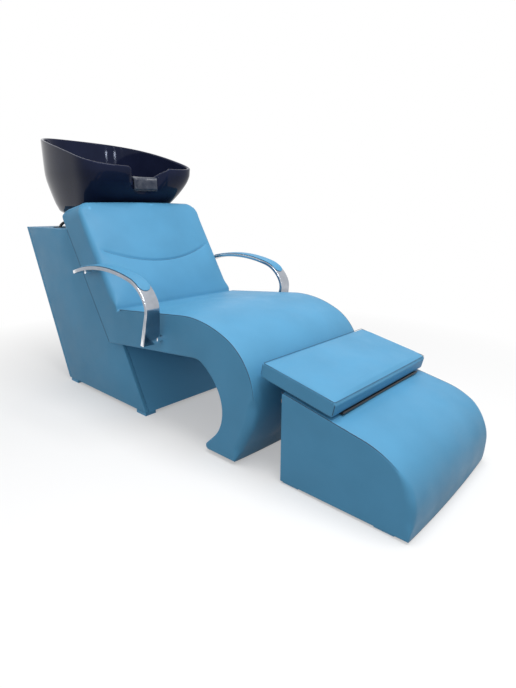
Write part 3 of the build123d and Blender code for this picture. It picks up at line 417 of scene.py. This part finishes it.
def normals_of(ring):
    """Outward normals of a closed outline, mitred at its corners."""
    count = len(ring)
    area = sum(ring[k][0] * ring[(k + 1) % count][1] - ring[(k + 1) % count][0] * ring[k][1]
               for k in range(count))
    side = 1 if area > 0 else -1
    found = []
    for k in range(count):
        a, p, b = ring[k - 1], ring[k], ring[(k + 1) % count]
        d1 = Vector((p[0] - a[0], p[1] - a[1])).normalized()
        d2 = Vector((b[0] - p[0], b[1] - p[1])).normalized()
        n = (Vector((d1.y + d2.y, -d1.x - d2.x)) * side).normalized()
        found.append(n / max(0.6, math.sqrt(max(0.05, (1 + d1.dot(d2)) / 2))))
    return found


def closed_body(name, spots, columns, relief=None, turns=6, support=2, finish=None):
    """A body between two rounded side edges. Each spot is (point, half width, edge radius, crown)."""
    normals = normals_of([spot[0] for spot in spots])
    stations = [("cap", -1, 0)] + [("turn", -1, k / turns) for k in range(turns + 1)]
    stations += [("flat", 1, 2 * (k + 1) / (columns + 1) - 1) for k in range(columns)]
    stations += [("turn", 1, k / turns) for k in range(turns, -1, -1)] + [("cap", 1, 0)]
    rows = []
    for kind, sign, value in stations:
        row = []
        for k, (p, half, radius, crown) in enumerate(spots):
            inset, y = radius + support, sign * half
            if kind == "turn":
                quarter = math.pi / 2 * value
                inset = radius * (1 - math.sin(quarter))
                y = sign * (half - radius * (1 - math.cos(quarter)))
            if kind == "flat":
                inset = 0
                y = (half - radius) * value
            if kind != "cap":
                inset -= crown * (1 - (y / half) ** 2)
                if relief:
                    inset -= relief(k, y)
            row.append((p[0] - normals[k].x * inset, y, p[1] - normals[k].y * inset))
        rows.append(row)
    return skin(name, rows, finish)


# Seat, leg and back as one upholstered body
crease = (-193, 382)
lean, slope = 31, 5.3
up_back = 90 + lean
seat_half = 275
seat_thick, back_thick, back_tall = 127, 130, 420
seat_floor_gap = 11
toe_radius = 12
top_heading = 199
front_turn = top_heading - up_back
rear_turn = 180 - front_turn
front_radius, rear_radius = 26, 20
wide_corner, corner_loss = 50, 34
cover_proud = 0.8
tight_edge = 4
seat_crown, back_crown = 7, 9
top_legs = [("line", 345), ("right", 376, 30.3), ("right", 181, 65), ("right", 235, 27),
            ("down", seat_floor_gap)]
under_start = polar(crease, slope - 90, seat_thick)
rear_point = polar(crease, lean, -back_thick)
rear_corner = meet(rear_point, up_back, under_start, slope)
under_arcs = [("right", 62, 38), ("right", 190, 27), ("right", 127, 76)]
toe_turn = sum(turn for _, _, turn in under_arcs) - slope
toe_rise = toe_radius * (1 - math.cos(math.radians(toe_turn)))
under_legs = [("line", 389), *under_arcs, ("down", seat_floor_gap + toe_rise)]
back_top = polar(crease, up_back, back_tall)
rear_top = meet(back_top, top_heading, rear_point, up_back)

# The channel sewn across the back: its height at the middle, how it rises and how deep it is
channel_height, channel_rise, channel_reach = 166, 55, 236
channel_fade = (205, 268)
groove_depth, groove_width = 4.6, 3.6
valley_depth, valley_width = 2.6, 26


def on_back(point):
    """How far up the back a point lies, and how far behind its front."""
    dx, dz = point[0] - crease[0], point[1] - crease[1]
    c, s = math.cos(math.radians(up_back)), math.sin(math.radians(up_back))
    return dx * c + dz * s, -(dx * math.cos(math.radians(lean)) + dz * math.sin(math.radians(lean)))


def round_top_corners(mesh):
    """Round the back's two square top corners, wider at the front than at the rear."""
    square_up = math.radians(top_heading - 90)
    rise = Vector((math.cos(square_up), 0, math.sin(square_up)))
    slide = Vector((math.cos(math.radians(up_back)), 0, math.sin(math.radians(up_back))))
    top = Vector((back_top[0], 0, back_top[1])) * MM
    for step in range(9):
        level = top + rise * (wide_corner * math.sin(math.radians(10 * step)) - wide_corner) * MM
        everything = mesh.verts[:] + mesh.edges[:] + mesh.faces[:]
        bmesh.ops.bisect_plane(mesh, geom=everything, dist=1e-6, plane_co=level, plane_no=rise)
    for vert in mesh.verts:
        behind = on_back((vert.co.x / MM, vert.co.z / MM))[1]
        radius = wide_corner - corner_loss * smooth(behind, 10, 100)
        up = (vert.co - top).dot(rise) / MM + radius
        out = abs(vert.co.y) / MM - seat_half + radius
        if up > 0 and out > 0:
            pull = max(up, out) / math.hypot(up, out)
            vert.co.y = math.copysign(seat_half - radius + out * pull, vert.co.y) * MM
            vert.co += slide * up * (pull - 1) * MM / slide.dot(rise)


def seat_edge_radius(height):
    """Tight beside the welt, full on the shin and tight again at the foot."""
    return tight_edge + 21 * (1 - smooth(height, 188, 246)) * smooth(height, 14, 55)


def back_edge_radius(height):
    return 5 + 17 * smooth(height, 10, 60) - 6 * smooth(height, 330, 398)


def crease_fold():
    """The tucked-in crease between seat and back, as distances along and below each face."""
    fold = ((15, 0.6), (9, 2), (4, 4.6))
    points = [polar(polar(crease, slope, s), slope - 90, d) for s, d in fold]
    points.append(polar(crease, 63, -8))
    return points + [polar(polar(crease, up_back, s), up_back + 90, d) for s, d in reversed(fold)]


def back_spots():
    """The back's front face, its top and its rear."""
    front_end = polar(crease, up_back, back_tall - front_radius * math.tan(math.radians(front_turn / 2)))
    rear_bend = rear_radius * math.tan(math.radians(rear_turn / 2))
    rear_run = math.dist(rear_corner, rear_top) - rear_bend
    marks = [polar(crease, up_back, u) for u in (16, 158, 232)] + [front_end]
    front = [p for a, b, step in zip(marks, marks[1:], (5, 2.5, 5)) for p in [a, *between(a, b, step)]]
    spots = []
    for p in front[1:]:
        u = on_back(p)[0]
        spots.append(("back", p, seat_half, back_edge_radius(u), back_crown * smooth(u, 0, 80)))
    turn, _ = trail(front_end, up_back, [("left", front_radius, front_turn)], step=3)
    for k, p in enumerate(turn):
        share = k / (len(turn) - 1)
        proud = polar(p, top_heading - 90, cover_proud * share)
        spots.append(("back", proud, seat_half, 16 - 14 * share, back_crown - 7.5 * share))
    rear_start = polar(rear_top, top_heading, -rear_bend)
    for p in between(turn[-1], rear_start, 6):
        spots.append(("top", polar(p, top_heading - 90, cover_proud), seat_half, 2, 1.5))
    rear_legs = [("left", rear_radius, rear_turn), ("line", rear_run)]
    rear, _ = trail(rear_start, top_heading, rear_legs, shift=-cover_proud, step=4)
    return spots + [("rear", p, seat_half, 3, 0) for p in rear[1:-1]]


def seat_spots():
    """The whole outline, from the foot up over the seat, the crease and the back, and back below."""
    top, _ = trail(crease, slope, top_legs, step=7)
    lead = math.dist(rear_corner, under_start)
    under, heading = trail(under_start, slope, under_legs, lead=lead, step=9)
    toe, _ = trail(under[-1], heading, [("left", toe_radius, toe_turn)], step=4)
    spots = []
    for p in reversed(top[2:]):
        crown = seat_crown * smooth(math.dist(p, crease), 0, 70)
        spots.append(("seat", p, seat_half, seat_edge_radius(p[1]), crown))
    spots += [("fold", p, seat_half, 5, 0) for p in crease_fold()]
    spots += back_spots()
    spots += [("under", p, seat_half, tight_edge, 0) for p in under]
    spots += [("toe", p, seat_half, 3, 0) for p in toe[1:]]
    return spots + [("foot", p, seat_half, tight_edge, 0) for p in between(toe[-1], top[-1])]


def channel_at(y):
    """Height of the sewn channel up the back, at a distance from its middle."""
    return channel_height + channel_rise * (y / channel_reach) ** 2


seat_list = seat_spots()


def seat_relief(k, y):
    """The sewn channel across the back and the soft folds beside the crease, in mm."""
    kind, p = seat_list[k][:2]
    if kind != "back":
        return 0
    u = on_back(p)[0]
    steepness = 2 * channel_rise * y / channel_reach ** 2
    away = (u - channel_at(y)) / math.sqrt(1 + steepness ** 2)
    fade = 1 - smooth(abs(y), *channel_fade)
    deep = groove_depth * math.exp(-((away / groove_width) ** 2))
    deep += valley_depth * math.exp(-((away / valley_width) ** 2))
    return -deep * fade - 1.2 * math.exp(-(((u - 52) / 14) ** 2)) * (1 - smooth(abs(y), 190, 262))


seat_mesh = closed_body("seat_cover", [s[1:] for s in seat_list], 64, seat_relief,
                        finish=round_top_corners)


# Where the cloth is held: beside the side welts, at the foot and inside the knee
side_margin, foot_margin = 13, 60
knee_start, knee_centre, knee_core = 150, (212, 120), 200


def seat_pin(co):
    """Points that stay put: all but the seat's top and the back's front, away from seams."""
    x, y, z = co.x / MM, co.y / MM, co.z / MM
    u, d = on_back((x, z))
    if abs(y) > seat_half - side_margin or z < foot_margin:
        return True
    if u > 14:
        near = abs(u - channel_at(y)) < 9 and abs(y) < 255
        return d > 8 or u > back_tall - 12 or near
    if x >= knee_start:
        return (x - knee_centre[0]) ** 2 + (z - knee_centre[1]) ** 2 < knee_core ** 2
    tilt = math.radians(slope)
    height = (z - under_start[1]) * math.cos(tilt) - (x - under_start[0]) * math.sin(tilt)
    free = d < -6 and math.dist((x, z), crease) > 18 and height > 100
    return not free


puff(seat_mesh, seat_pin, 6)
seat_cover = new_piece("seat_cover", seat_mesh, "vinyl", "frame",
                       ("seat_cushion", "backrest_cushion", "seat_side_right", "seat_side_left",
                        "backrest_rear_panel", "leg_lining"))

# The seam that lies in the back's channel
line = []
for step in range(61):
    y = 8 * step - 240
    sunk = (groove_depth + valley_depth) * (1 - smooth(abs(y), *channel_fade))
    rise = back_crown * (1 - (y / seat_half) ** 2) - sunk + 0.2
    x, z = polar(polar(crease, up_back, channel_at(y)), lean, rise)
    line.append((x * MM, y * MM, z * MM))
new_piece("back_seam", tube("back_seam", line, 1.2 * MM, taper=4), "thread", "frame")

# The welt along each side edge of the seat, from the crease to the front of the leg, and the
# one where the back's side meets its rear panel, both painted dark as the shade in their seams
welt_radius, welt_taper = 1.0, 12
seat_edge, _ = trail(crease, slope, top_legs[:3], shift=-1.0, step=6)
for side, name in ((-1, "right"), (1, "left")):
    edge_y = side * (seat_half - 1.1) * MM
    line = [(p[0] * MM, edge_y, p[1] * MM) for p in seat_edge[2:] if p[1] > 222]
    welt = tube(f"seat_welt_{name}", line, welt_radius * MM, taper=welt_taper)
    new_piece(f"seat_welt_{name}", welt, "seam", "frame")
    low = polar(rear_corner, up_back, 4)
    high = polar(polar(crease, lean, 1 - back_thick), up_back, 380)
    edge_y = side * (seat_half - 0.7) * MM
    line = [(p[0] * MM, edge_y, p[1] * MM) for p in (low, *between(low, high, 20), high)]
    new_piece(f"back_welt_{name}", tube(f"back_welt_{name}", line, 1.3 * MM), "seam", "frame")

# Footrest cover
rest_half = 252
rest_slope = -12
rest_floor_gap = 5
rest_start = (525.793, 265)
rest_corner_radius, rest_corner_drop = 7, 8.64
rest_legs = [("line", 246), ("right", 230, 20), ("right", 133, 58), ("right", 275, 8),
             ("down", rest_floor_gap)]


def rest_spots():
    """The footrest's outline: its rear top corner, top, nose, underside and rear."""
    top, _ = trail(rest_start, rest_slope, rest_legs, step=7)
    corner_start = polar(rest_start, -90, rest_corner_drop)
    corner, _ = trail(corner_start, 90, [("right", rest_corner_radius, 90 - rest_slope)], step=2.5)
    spots = [(p, rest_half, tight_edge, 0) for p in corner]
    for p in top[2:]:
        edge = tight_edge + 14 * (1 - smooth(p[1], 120, 190)) * smooth(p[1], 14, 60)
        spots.append((p, rest_half, edge, 5 * smooth(p[0], 532, 566)))
    foot = (rest_start[0], rest_floor_gap)
    under = (*between(top[-1], foot), foot, *between(foot, corner[0]))
    return spots + [(p, rest_half, tight_edge, 0) for p in under]


def rest_pin(co):
    """Points that stay put: all but the footrest's top and nose, away from its side edges."""
    nose_start, nose_core, margin, low = 0.70, 0.18, 0.236, 0.04
    inside_nose = (co.x - nose_start) ** 2 + (co.z - 0.02) ** 2 < nose_core ** 2
    return co.x < nose_start or abs(co.y) > margin or co.z < low or inside_nose


rest_mesh = closed_body("footrest_cover", rest_spots(), 54)
puff(rest_mesh, rest_pin, 4)
rest_cover = new_piece("footrest_cover", rest_mesh, "vinyl", "footrest",
                       ("footrest_cushion", "footrest_side_right", "footrest_side_left",
                        "footrest_rear_panel"))
# The footrest's welts, painted dark as the shade in their seams
rest_edge, _ = trail(rest_start, rest_slope, rest_legs[:3], shift=-1.0, step=6)
for side, name in ((-1, "right"), (1, "left")):
    edge_y = side * (rest_half - 1.1) * MM
    line = [(p[0] * MM, edge_y, p[1] * MM) for p in rest_edge if p[1] > 168]
    welt = tube(f"footrest_welt_{name}", line, welt_radius * MM, taper=welt_taper)
    new_piece(f"footrest_welt_{name}", welt, "seam", "footrest")

# Flap: a boxed pad with welts round its top and bottom edges and down its corners
flap_long, flap_thick, flap_half = 236, 45, 252
flap_corner, flap_edge = 8, 5
flap_start = polar(polar(rest_start, rest_slope, -78), rest_slope + 90, 7.7)


def flap_point(along, up):
    return polar(polar(flap_start, rest_slope, along), rest_slope + 90, up)


def flap_spots():
    """The flap's outline: four rounded corners and the four faces between them."""
    near, far, high = flap_corner, flap_long - flap_corner, flap_thick - flap_corner
    corners = ((near, near, 180, flap_point(far, 0), 0),
               (far, near, 270, flap_point(flap_long, high), 1.5),
               (far, high, 0, flap_point(near, flap_thick), 5),
               (near, high, 90, flap_point(0, near), 1.5))
    spots = []
    for along, up, first, goal, crown in corners:
        for step in range(5):
            turn = math.radians(first + 90 * step / 4)
            p = flap_point(along + flap_corner * math.cos(turn), up + flap_corner * math.sin(turn))
            spots.append((p, flap_half, flap_edge, 0))
        spots += [(p, flap_half, flap_edge, crown) for p in between(spots[-1][0], goal, 6)]
    return spots


flap_list = flap_spots()


def flap_relief(k, y):
    """The pad's top falls away towards its front and rear edges."""
    dx, dz = flap_list[k][0][0] - flap_start[0], flap_list[k][0][1] - flap_start[1]
    c, s = math.cos(math.radians(-rest_slope)), math.sin(math.radians(-rest_slope))
    along, up = dx * c - dz * s, dx * s + dz * c
    if up < 40:
        return 0
    return -3.0 * (1 - smooth(along, 0, 40) * (1 - smooth(along, flap_long - 40, flap_long)))


flap_mesh = closed_body("flap_cover", flap_list, 54, flap_relief)
flap_cover = new_piece("flap_cover", flap_mesh, "vinyl", "flap", ("flap_cushion", "flap_board"))

# The top and bottom welts run just inside the pad's faces and cut its corners; they and the corner seams
# are painted dark as the shade in the seams
side_y, side_x, end_x, end_y = 250.9, 230, 233.4, 247.5
flap_round = [(flap_long / 2, side_y), (side_x, side_y), (end_x, end_y), (end_x, -end_y),
              (side_x, -side_y), (flap_long - side_x, -side_y), (flap_long - end_x, -end_y),
              (flap_long - end_x, end_y), (flap_long - side_x, side_y)]
for level, name in ((42.5, "top"), (3, "bottom")):
    loop = []
    for along, y in flap_round:
        place = flap_point(along, level)
        loop.append((place[0] * MM, y * MM, place[1] * MM))
    welt = tube(f"flap_welt_{name}", loop, 0.7 * MM, loop=True)
    new_piece(f"flap_welt_{name}", welt, "seam", "flap")
for k, (along, side) in enumerate(((234, -1), (2, -1), (234, 1), (2, 1))):
    line = []
    for up in (8, 16, 24, 32, 37):
        place = flap_point(along, up)
        line.append((place[0] * MM, side * (flap_half - 1.8) * MM, place[1] * MM))
    seam = tube(f"flap_corner_seam_{k}", line, 1.2 * MM)
    new_piece(f"flap_corner_seam_{k}", seam, "seam", "flap")

# Armrest pads: tongues with round ends, set in the metal band
arm_y = 316
pad_half = 21
arm_tip, arm_heading, arm_radius, pad_skip_turn = (-352, 503), 17, 620, 2.5
pad_start, pad_heading = trail(arm_tip, arm_heading, [("right", arm_radius, pad_skip_turn)])
pad_legs = [("right", arm_radius, 29.5), ("right", 120, 31)]
pad_line, _ = trail(pad_start[-1], pad_heading, pad_legs, shift=5.4, step=3)


def pad_rows(side):
    """Rounded sections of a pad, from one end to the other."""
    reach = [0.0]
    for a, b in zip(pad_line, pad_line[1:]):
        reach.append(reach[-1] + math.dist(a, b))
    length = reach[-1]
    ends = [pad_half * (1 - math.cos(math.radians(9 * k + 2))) for k in range(10)] + [pad_half]
    middle = [pad_half + (length - 2 * pad_half) * k / 40 for k in range(1, 40)]
    rows = []
    for s in ends + middle + [length - e for e in reversed(ends)]:
        k = max(j for j in range(len(reach) - 1) if reach[j] <= s)
        a, b = Vector(pad_line[k]), Vector(pad_line[k + 1])
        here = a.lerp(b, (s - reach[k]) / (reach[k + 1] - reach[k]))
        up = Vector((a.y - b.y, b.x - a.x)).normalized()
        near = min(s, length - s, pad_half)
        half = math.sqrt(max(0.0, pad_half ** 2 - (pad_half - near) ** 2))
        tall = 1.4 + 0.9 * smooth(near, 0, pad_half)
        row = []
        for step in range(28):
            c, d = math.cos(math.pi * step / 14), math.sin(math.pi * step / 14)
            y = half * math.copysign(abs(c) ** 0.5, c)
            rise = tall * (1 + math.copysign(abs(d) ** 0.6, d))
            row.append((here.x + up.x * rise, side * arm_y + y, here.y + up.y * rise))
        rows.append(row)
    return rows


for side, name in ((-1, "right"), (1, "left")):
    mesh = skin(f"arm_pad_cover_{name}", pad_rows(side))
    pad = new_piece(f"arm_pad_cover_{name}", mesh, "vinyl", "frame", (f"arm_pad_{name}",))

# Bowl: one smooth glazed shell with a rolled rim, and its gel neck rest
bowl_wall = 11
bowl_bottom = 688
bowl_sides, bowl_levels = 288, 30
drain_x = -672
widest_share = 0.27
neck_x, neck_radius, neck_blend = -312, 85, 60
lip_height = 826
notch_start, notch_sides = -430, (46, 96)
rim_low, rim_rise, rim_start, rim_run = 868, 90, -338, 540
rim_half = 5.5

# Each level of the bowl as its height, its front, its rear and its half width
levels = [(bowl_bottom, -545, -812, 158), (704, -530, -856, 184), (722, -480, -872, 198),
          (742, -437, -888, 208), (790, -380, -902, 228), (835, -346, -908, 244),
          (880, rim_start, -908, 249), (1020, -334, -908, 250)]
rim_level = levels[6]


def level_at(t):
    """A smooth curve through the levels."""
    k = min(6, int(t))
    f = t - k
    around = (levels[max(0, k - 1)], levels[k], levels[k + 1], levels[min(7, k + 2)])
    return [b + 0.5 * f * (c - a + f * (2 * a - 5 * b + 4 * c - d + f * (3 * (b - c) + d - a)))
            for a, b, c, d in zip(*around)]


def egg(level, turn, wall):
    """A point of the bowl's plan outline at one level, with the dent for the neck."""
    front, rear, half = level[1] - wall, level[2] + wall, level[3] - wall
    length = front - rear
    c, s = math.cos(turn), math.sin(turn)
    power, reach = (4.0, widest_share) if c >= 0 else (2.6, 1 - widest_share)
    x = front - widest_share * length + reach * length * math.copysign(abs(c) ** (2 / power), c)
    y = half * math.copysign(abs(s) ** (2 / power), s)
    dx, dy = x - neck_x, y
    d = math.hypot(dx, dy)
    radius = neck_radius + wall
    if d < radius + neck_blend:
        new = 0.5 * (d + radius + math.sqrt((d - radius) ** 2 + 64))
        x, y = neck_x + dx * new / d, dy * new / d
    return x, y


def rim_height(x, y):
    """The rim rises to the rear, and drops to the lip of the neck notch in front."""
    t = max(0.0, (rim_start - x) / rim_run)
    high = rim_low + rim_rise * (1.96 * t - 0.49 * t * t + 0.03 * t ** 3)
    if x > notch_start:
        high = lip_height + (high - lip_height) * smooth(abs(y), *notch_sides)
    return high


def even_turns(count):
    """Turns that space points evenly round the rim, closer together at the neck dent."""
    steps, neck_weight = 4000, 2.2
    fine = [egg(rim_level, math.pi * (k / steps) ** 2, 0) for k in range(steps + 1)]
    reach = [0.0]
    for a, b in zip(fine, fine[1:]):
        weight = neck_weight if b[0] > -470 and abs(b[1]) < 150 else 1
        reach.append(reach[-1] + weight * math.dist(a, b))
    turns, k = [], 0
    for step in range(count // 2 + 1):
        goal = reach[-1] * step / (count // 2)
        while k < steps and reach[k + 1] < goal:
            k += 1
        span = max(1e-9, reach[min(steps, k + 1)] - reach[k])
        turns.append(math.pi * (min(steps, k + (goal - reach[k]) / span) / steps) ** 2)
    return turns + [-t for t in reversed(turns[1:-1])]


def rim_share(top):
    """How far through the levels a wall of a given height ends."""
    low, high = 4.0, 7.0
    for _ in range(30):
        mid = (low + high) / 2
        if level_at(mid)[0] < top:
            low = mid
        else:
            high = mid
    return low


def wall_column(turn):
    """One section through the wall: outside, rolled rim, inside, and both floors to the drain."""
    top = rim_height(*egg(rim_level, turn, 0))
    share = rim_share(top)
    outer, inner = [], []
    for k in range(bowl_levels + 1):
        level = level_at(share * k / bowl_levels)
        lift = bowl_wall * (1 - k / bowl_levels)
        outer.append((*egg(level, turn, 0), level[0]))
        inner.append((*egg(level, turn, bowl_wall), max(bowl_bottom + bowl_wall, level[0] + lift)))
    o, i = Vector(outer[-1]), Vector(inner[-1])
    middle, half = (o + i) / 2, (o - i) / 2
    middle.z = top - rim_half
    half.z = 0
    crest = [middle + half * (1.08 * math.cos(a)) + Vector((0, 0, rim_half * math.sin(a)))
             for a in (math.pi * j / 8 for j in range(1, 8))]
    for wall, end in ((outer, o), (inner, i)):
        wall[:] = [p for p in wall if p[2] < top - rim_half - 1]
        while len(wall) < bowl_levels + 1:
            wall.append((end.x, end.y, top - rim_half - 0.5 / (len(wall) + 1)))

    def floor_points(ring, height, shares):
        return [(drain_x + (ring[0] - drain_x) * f, ring[1] * f, height) for f in shares]

    bottom = floor_points(outer[0], bowl_bottom, (0.3, 0.7, 0.94))
    floor = floor_points(inner[0], bowl_bottom + bowl_wall, (0.94, 0.7, 0.3))
    return bottom + outer + crest + list(reversed(inner)) + floor


columns = [wall_column(turn) for turn in even_turns(bowl_sides)]
bowl_mesh = skin("bowl_shell", list(zip(*columns)))
new_piece("bowl_shell", bowl_mesh, "bowl", "basin", ("bowl",))


def neck_mesh():
    """An inverted U of soft gel over the lip of the notch, rounded at its ends."""
    middle_r, middle_z, arch = 90.5, 820.5, 10.8
    half_turn, half_thick = 41, 5
    line = [(middle_r - arch, z) for z in (788, 796, 804, 812)]
    line += [(middle_r - arch * math.cos(a), middle_z + arch * math.sin(a))
             for a in (math.pi * j / 12 for j in range(13))]
    line += [(middle_r + arch, z) for z in (813, 806)]
    sections = []
    for step in range(41):
        share = step / 20 - 1
        phi = math.radians(half_turn * math.sin(share * math.pi / 2))
        fat = half_thick * math.sqrt(max(0.02, 1 - abs(share) ** 4))
        outside, inside = [], []
        for k, (r, z) in enumerate(line):
            a, b = line[max(0, k - 1)], line[min(len(line) - 1, k + 1)]
            run = math.hypot(b[0] - a[0], b[1] - a[1])
            nr, nz = -(b[1] - a[1]) / run, (b[0] - a[0]) / run
            outside.append((r + nr * fat, z + nz * fat))
            inside.append((r - nr * fat, z - nz * fat))
        ends = []
        for (r, z), way in ((line[-1], 1), (line[0], -1)):
            ends.append([(r + way * fat * math.cos(a), z - fat * math.sin(a))
                         for a in (math.pi * j / 6 for j in range(1, 6))])
        loop = outside + ends[0] + list(reversed(inside)) + ends[1]
        sections.append([(neck_x - r * math.cos(phi), r * math.sin(phi), z) for r, z in loop])
    return skin("neck_gel", sections)


neck = new_piece("neck_gel", neck_mesh(), "gel", "basin", ("neck_rest",))


def softened(node, radius, look, body):
    """A copy of a CAD board with its edges eased, which stands for it."""
    source = nodes[node]
    mesh = bmesh.new()
    mesh.from_mesh(source.data)
    bmesh.ops.remove_doubles(mesh, verts=mesh.verts, dist=0.00001)
    bmesh.ops.dissolve_limit(mesh, angle_limit=math.radians(1), verts=mesh.verts, edges=mesh.edges)
    sharp = [e for e in mesh.edges if len(e.link_faces) == 2 and e.calc_face_angle(0) > math.radians(25)]
    bmesh.ops.bevel(mesh, geom=sharp, offset=radius * MM, offset_type="OFFSET", segments=3, profile=0.5,
                    affect="EDGES", clamp_overlap=True)
    data = bpy.data.meshes.new(f"{node}_cover")
    mesh.to_mesh(data)
    mesh.free()
    return new_piece(f"{node}_cover", data, look, body, (node,))


for node in ("cabinet_side_right", "cabinet_side_left"):
    softened(node, 3, "vinyl", "frame")
softened("service_door", 2, "vinyl", "door")

# Finishes of the CAD nodes that stay
finishes = {
    "board": ("seat_deck", "seat_rails", "backrest_board", "backrest_rails",
              "bolt_rail", "footrest_deck", "footrest_rails"),
    "vinyl": ("cabinet_deck", "cabinet_floor", "cabinet_front_panel", "seat_glides", "cabinet_feet",
              "footrest_feet"),
    "arm": ("arm_right", "arm_left"),
    "chrome": ("tap_body", "hot_knob", "cold_knob", "waste_strainer", "hand_shower", "shower_bush"),
    "steel": ("tilt_saddle", "tilt_base", "tilt_pins", "seat_bolts", "arm_screws", "tap_nut",
              "door_hinge_cabinet_leaves", "door_hinge_door_leaves", "door_hinge_pins", "door_pull"),
    "brass": ("water_inlets",),
    "black": ("waste_body", "hose_grommet", "flap_leaf", "footrest_leaf", "flap_hinge_pin",
              "toe_block"),
    "hose": ("shower_hose",),
}
for look, names in finishes.items():
    for node in names:
        repaint(node, look)


# Studio
floor_half, floor_drop = 30, 0.0005
soft_light = 0.6
key_place, key_aim = (0.95, -0.1, 2.5), (0.1, 0, 0.35)
bowl_centre = (-0.8, 0.1, 0.92)
spot_places = ((2.06, -2.6, 1.35), (1.5, -3.1, 1.6), (0.75, -3.5, 1.35),
               (1.0, -3.4, 1.75), (-0.4, -3.8, 1.5), (2.3, -2.2, 1.7))


def area_light(name, place, aim, size, power, height=None):
    data = bpy.data.lights.new(name, "AREA")
    data.shape = "RECTANGLE"
    data.size, data.size_y = size, height or size
    data.energy = power
    light = bpy.data.objects.new(name, data)
    scene.collection.objects.link(light)
    light.location = place
    light.visible_camera = False
    light.rotation_euler = (Vector(aim) - Vector(place)).to_track_quat("-Z", "Y").to_euler()


def studio_ground():
    """The flat floor, just below the object's feet."""
    sheet = bmesh.new()
    bmesh.ops.create_grid(sheet, x_segments=1, y_segments=1, size=floor_half)
    bmesh.ops.translate(sheet, verts=sheet.verts, vec=(0, 0, -floor_drop))
    data = bpy.data.meshes.new("studio_floor")
    sheet.to_mesh(data)
    sheet.free()
    floor = bpy.data.objects.new("studio_floor", data)
    scene.collection.objects.link(floor)
    paint(floor, "floor")


def studio_world():
    """Plain white where it is seen, and a softer white where it only lights the object."""
    world = bpy.data.worlds.new("studio")
    world.use_nodes = True
    tree = world.node_tree
    backdrop = tree.nodes["Background"]
    backdrop.inputs["Color"].default_value = (1, 1, 1, 1)
    level = tree.nodes.new("ShaderNodeMapRange")
    level.inputs["To Min"].default_value = soft_light
    level.inputs["To Max"].default_value = 1.0
    tree.links.new(shown_rays(tree), level.inputs["Value"])
    tree.links.new(level.outputs["Result"], backdrop.inputs["Strength"])
    scene.world = world


studio_ground()
studio_world()
area_light("key", key_place, key_aim, 1.5, 50)
for k, place in enumerate(spot_places):
    area_light(f"spot_{k}", place, bowl_centre, 0.3, 3, 0.06)
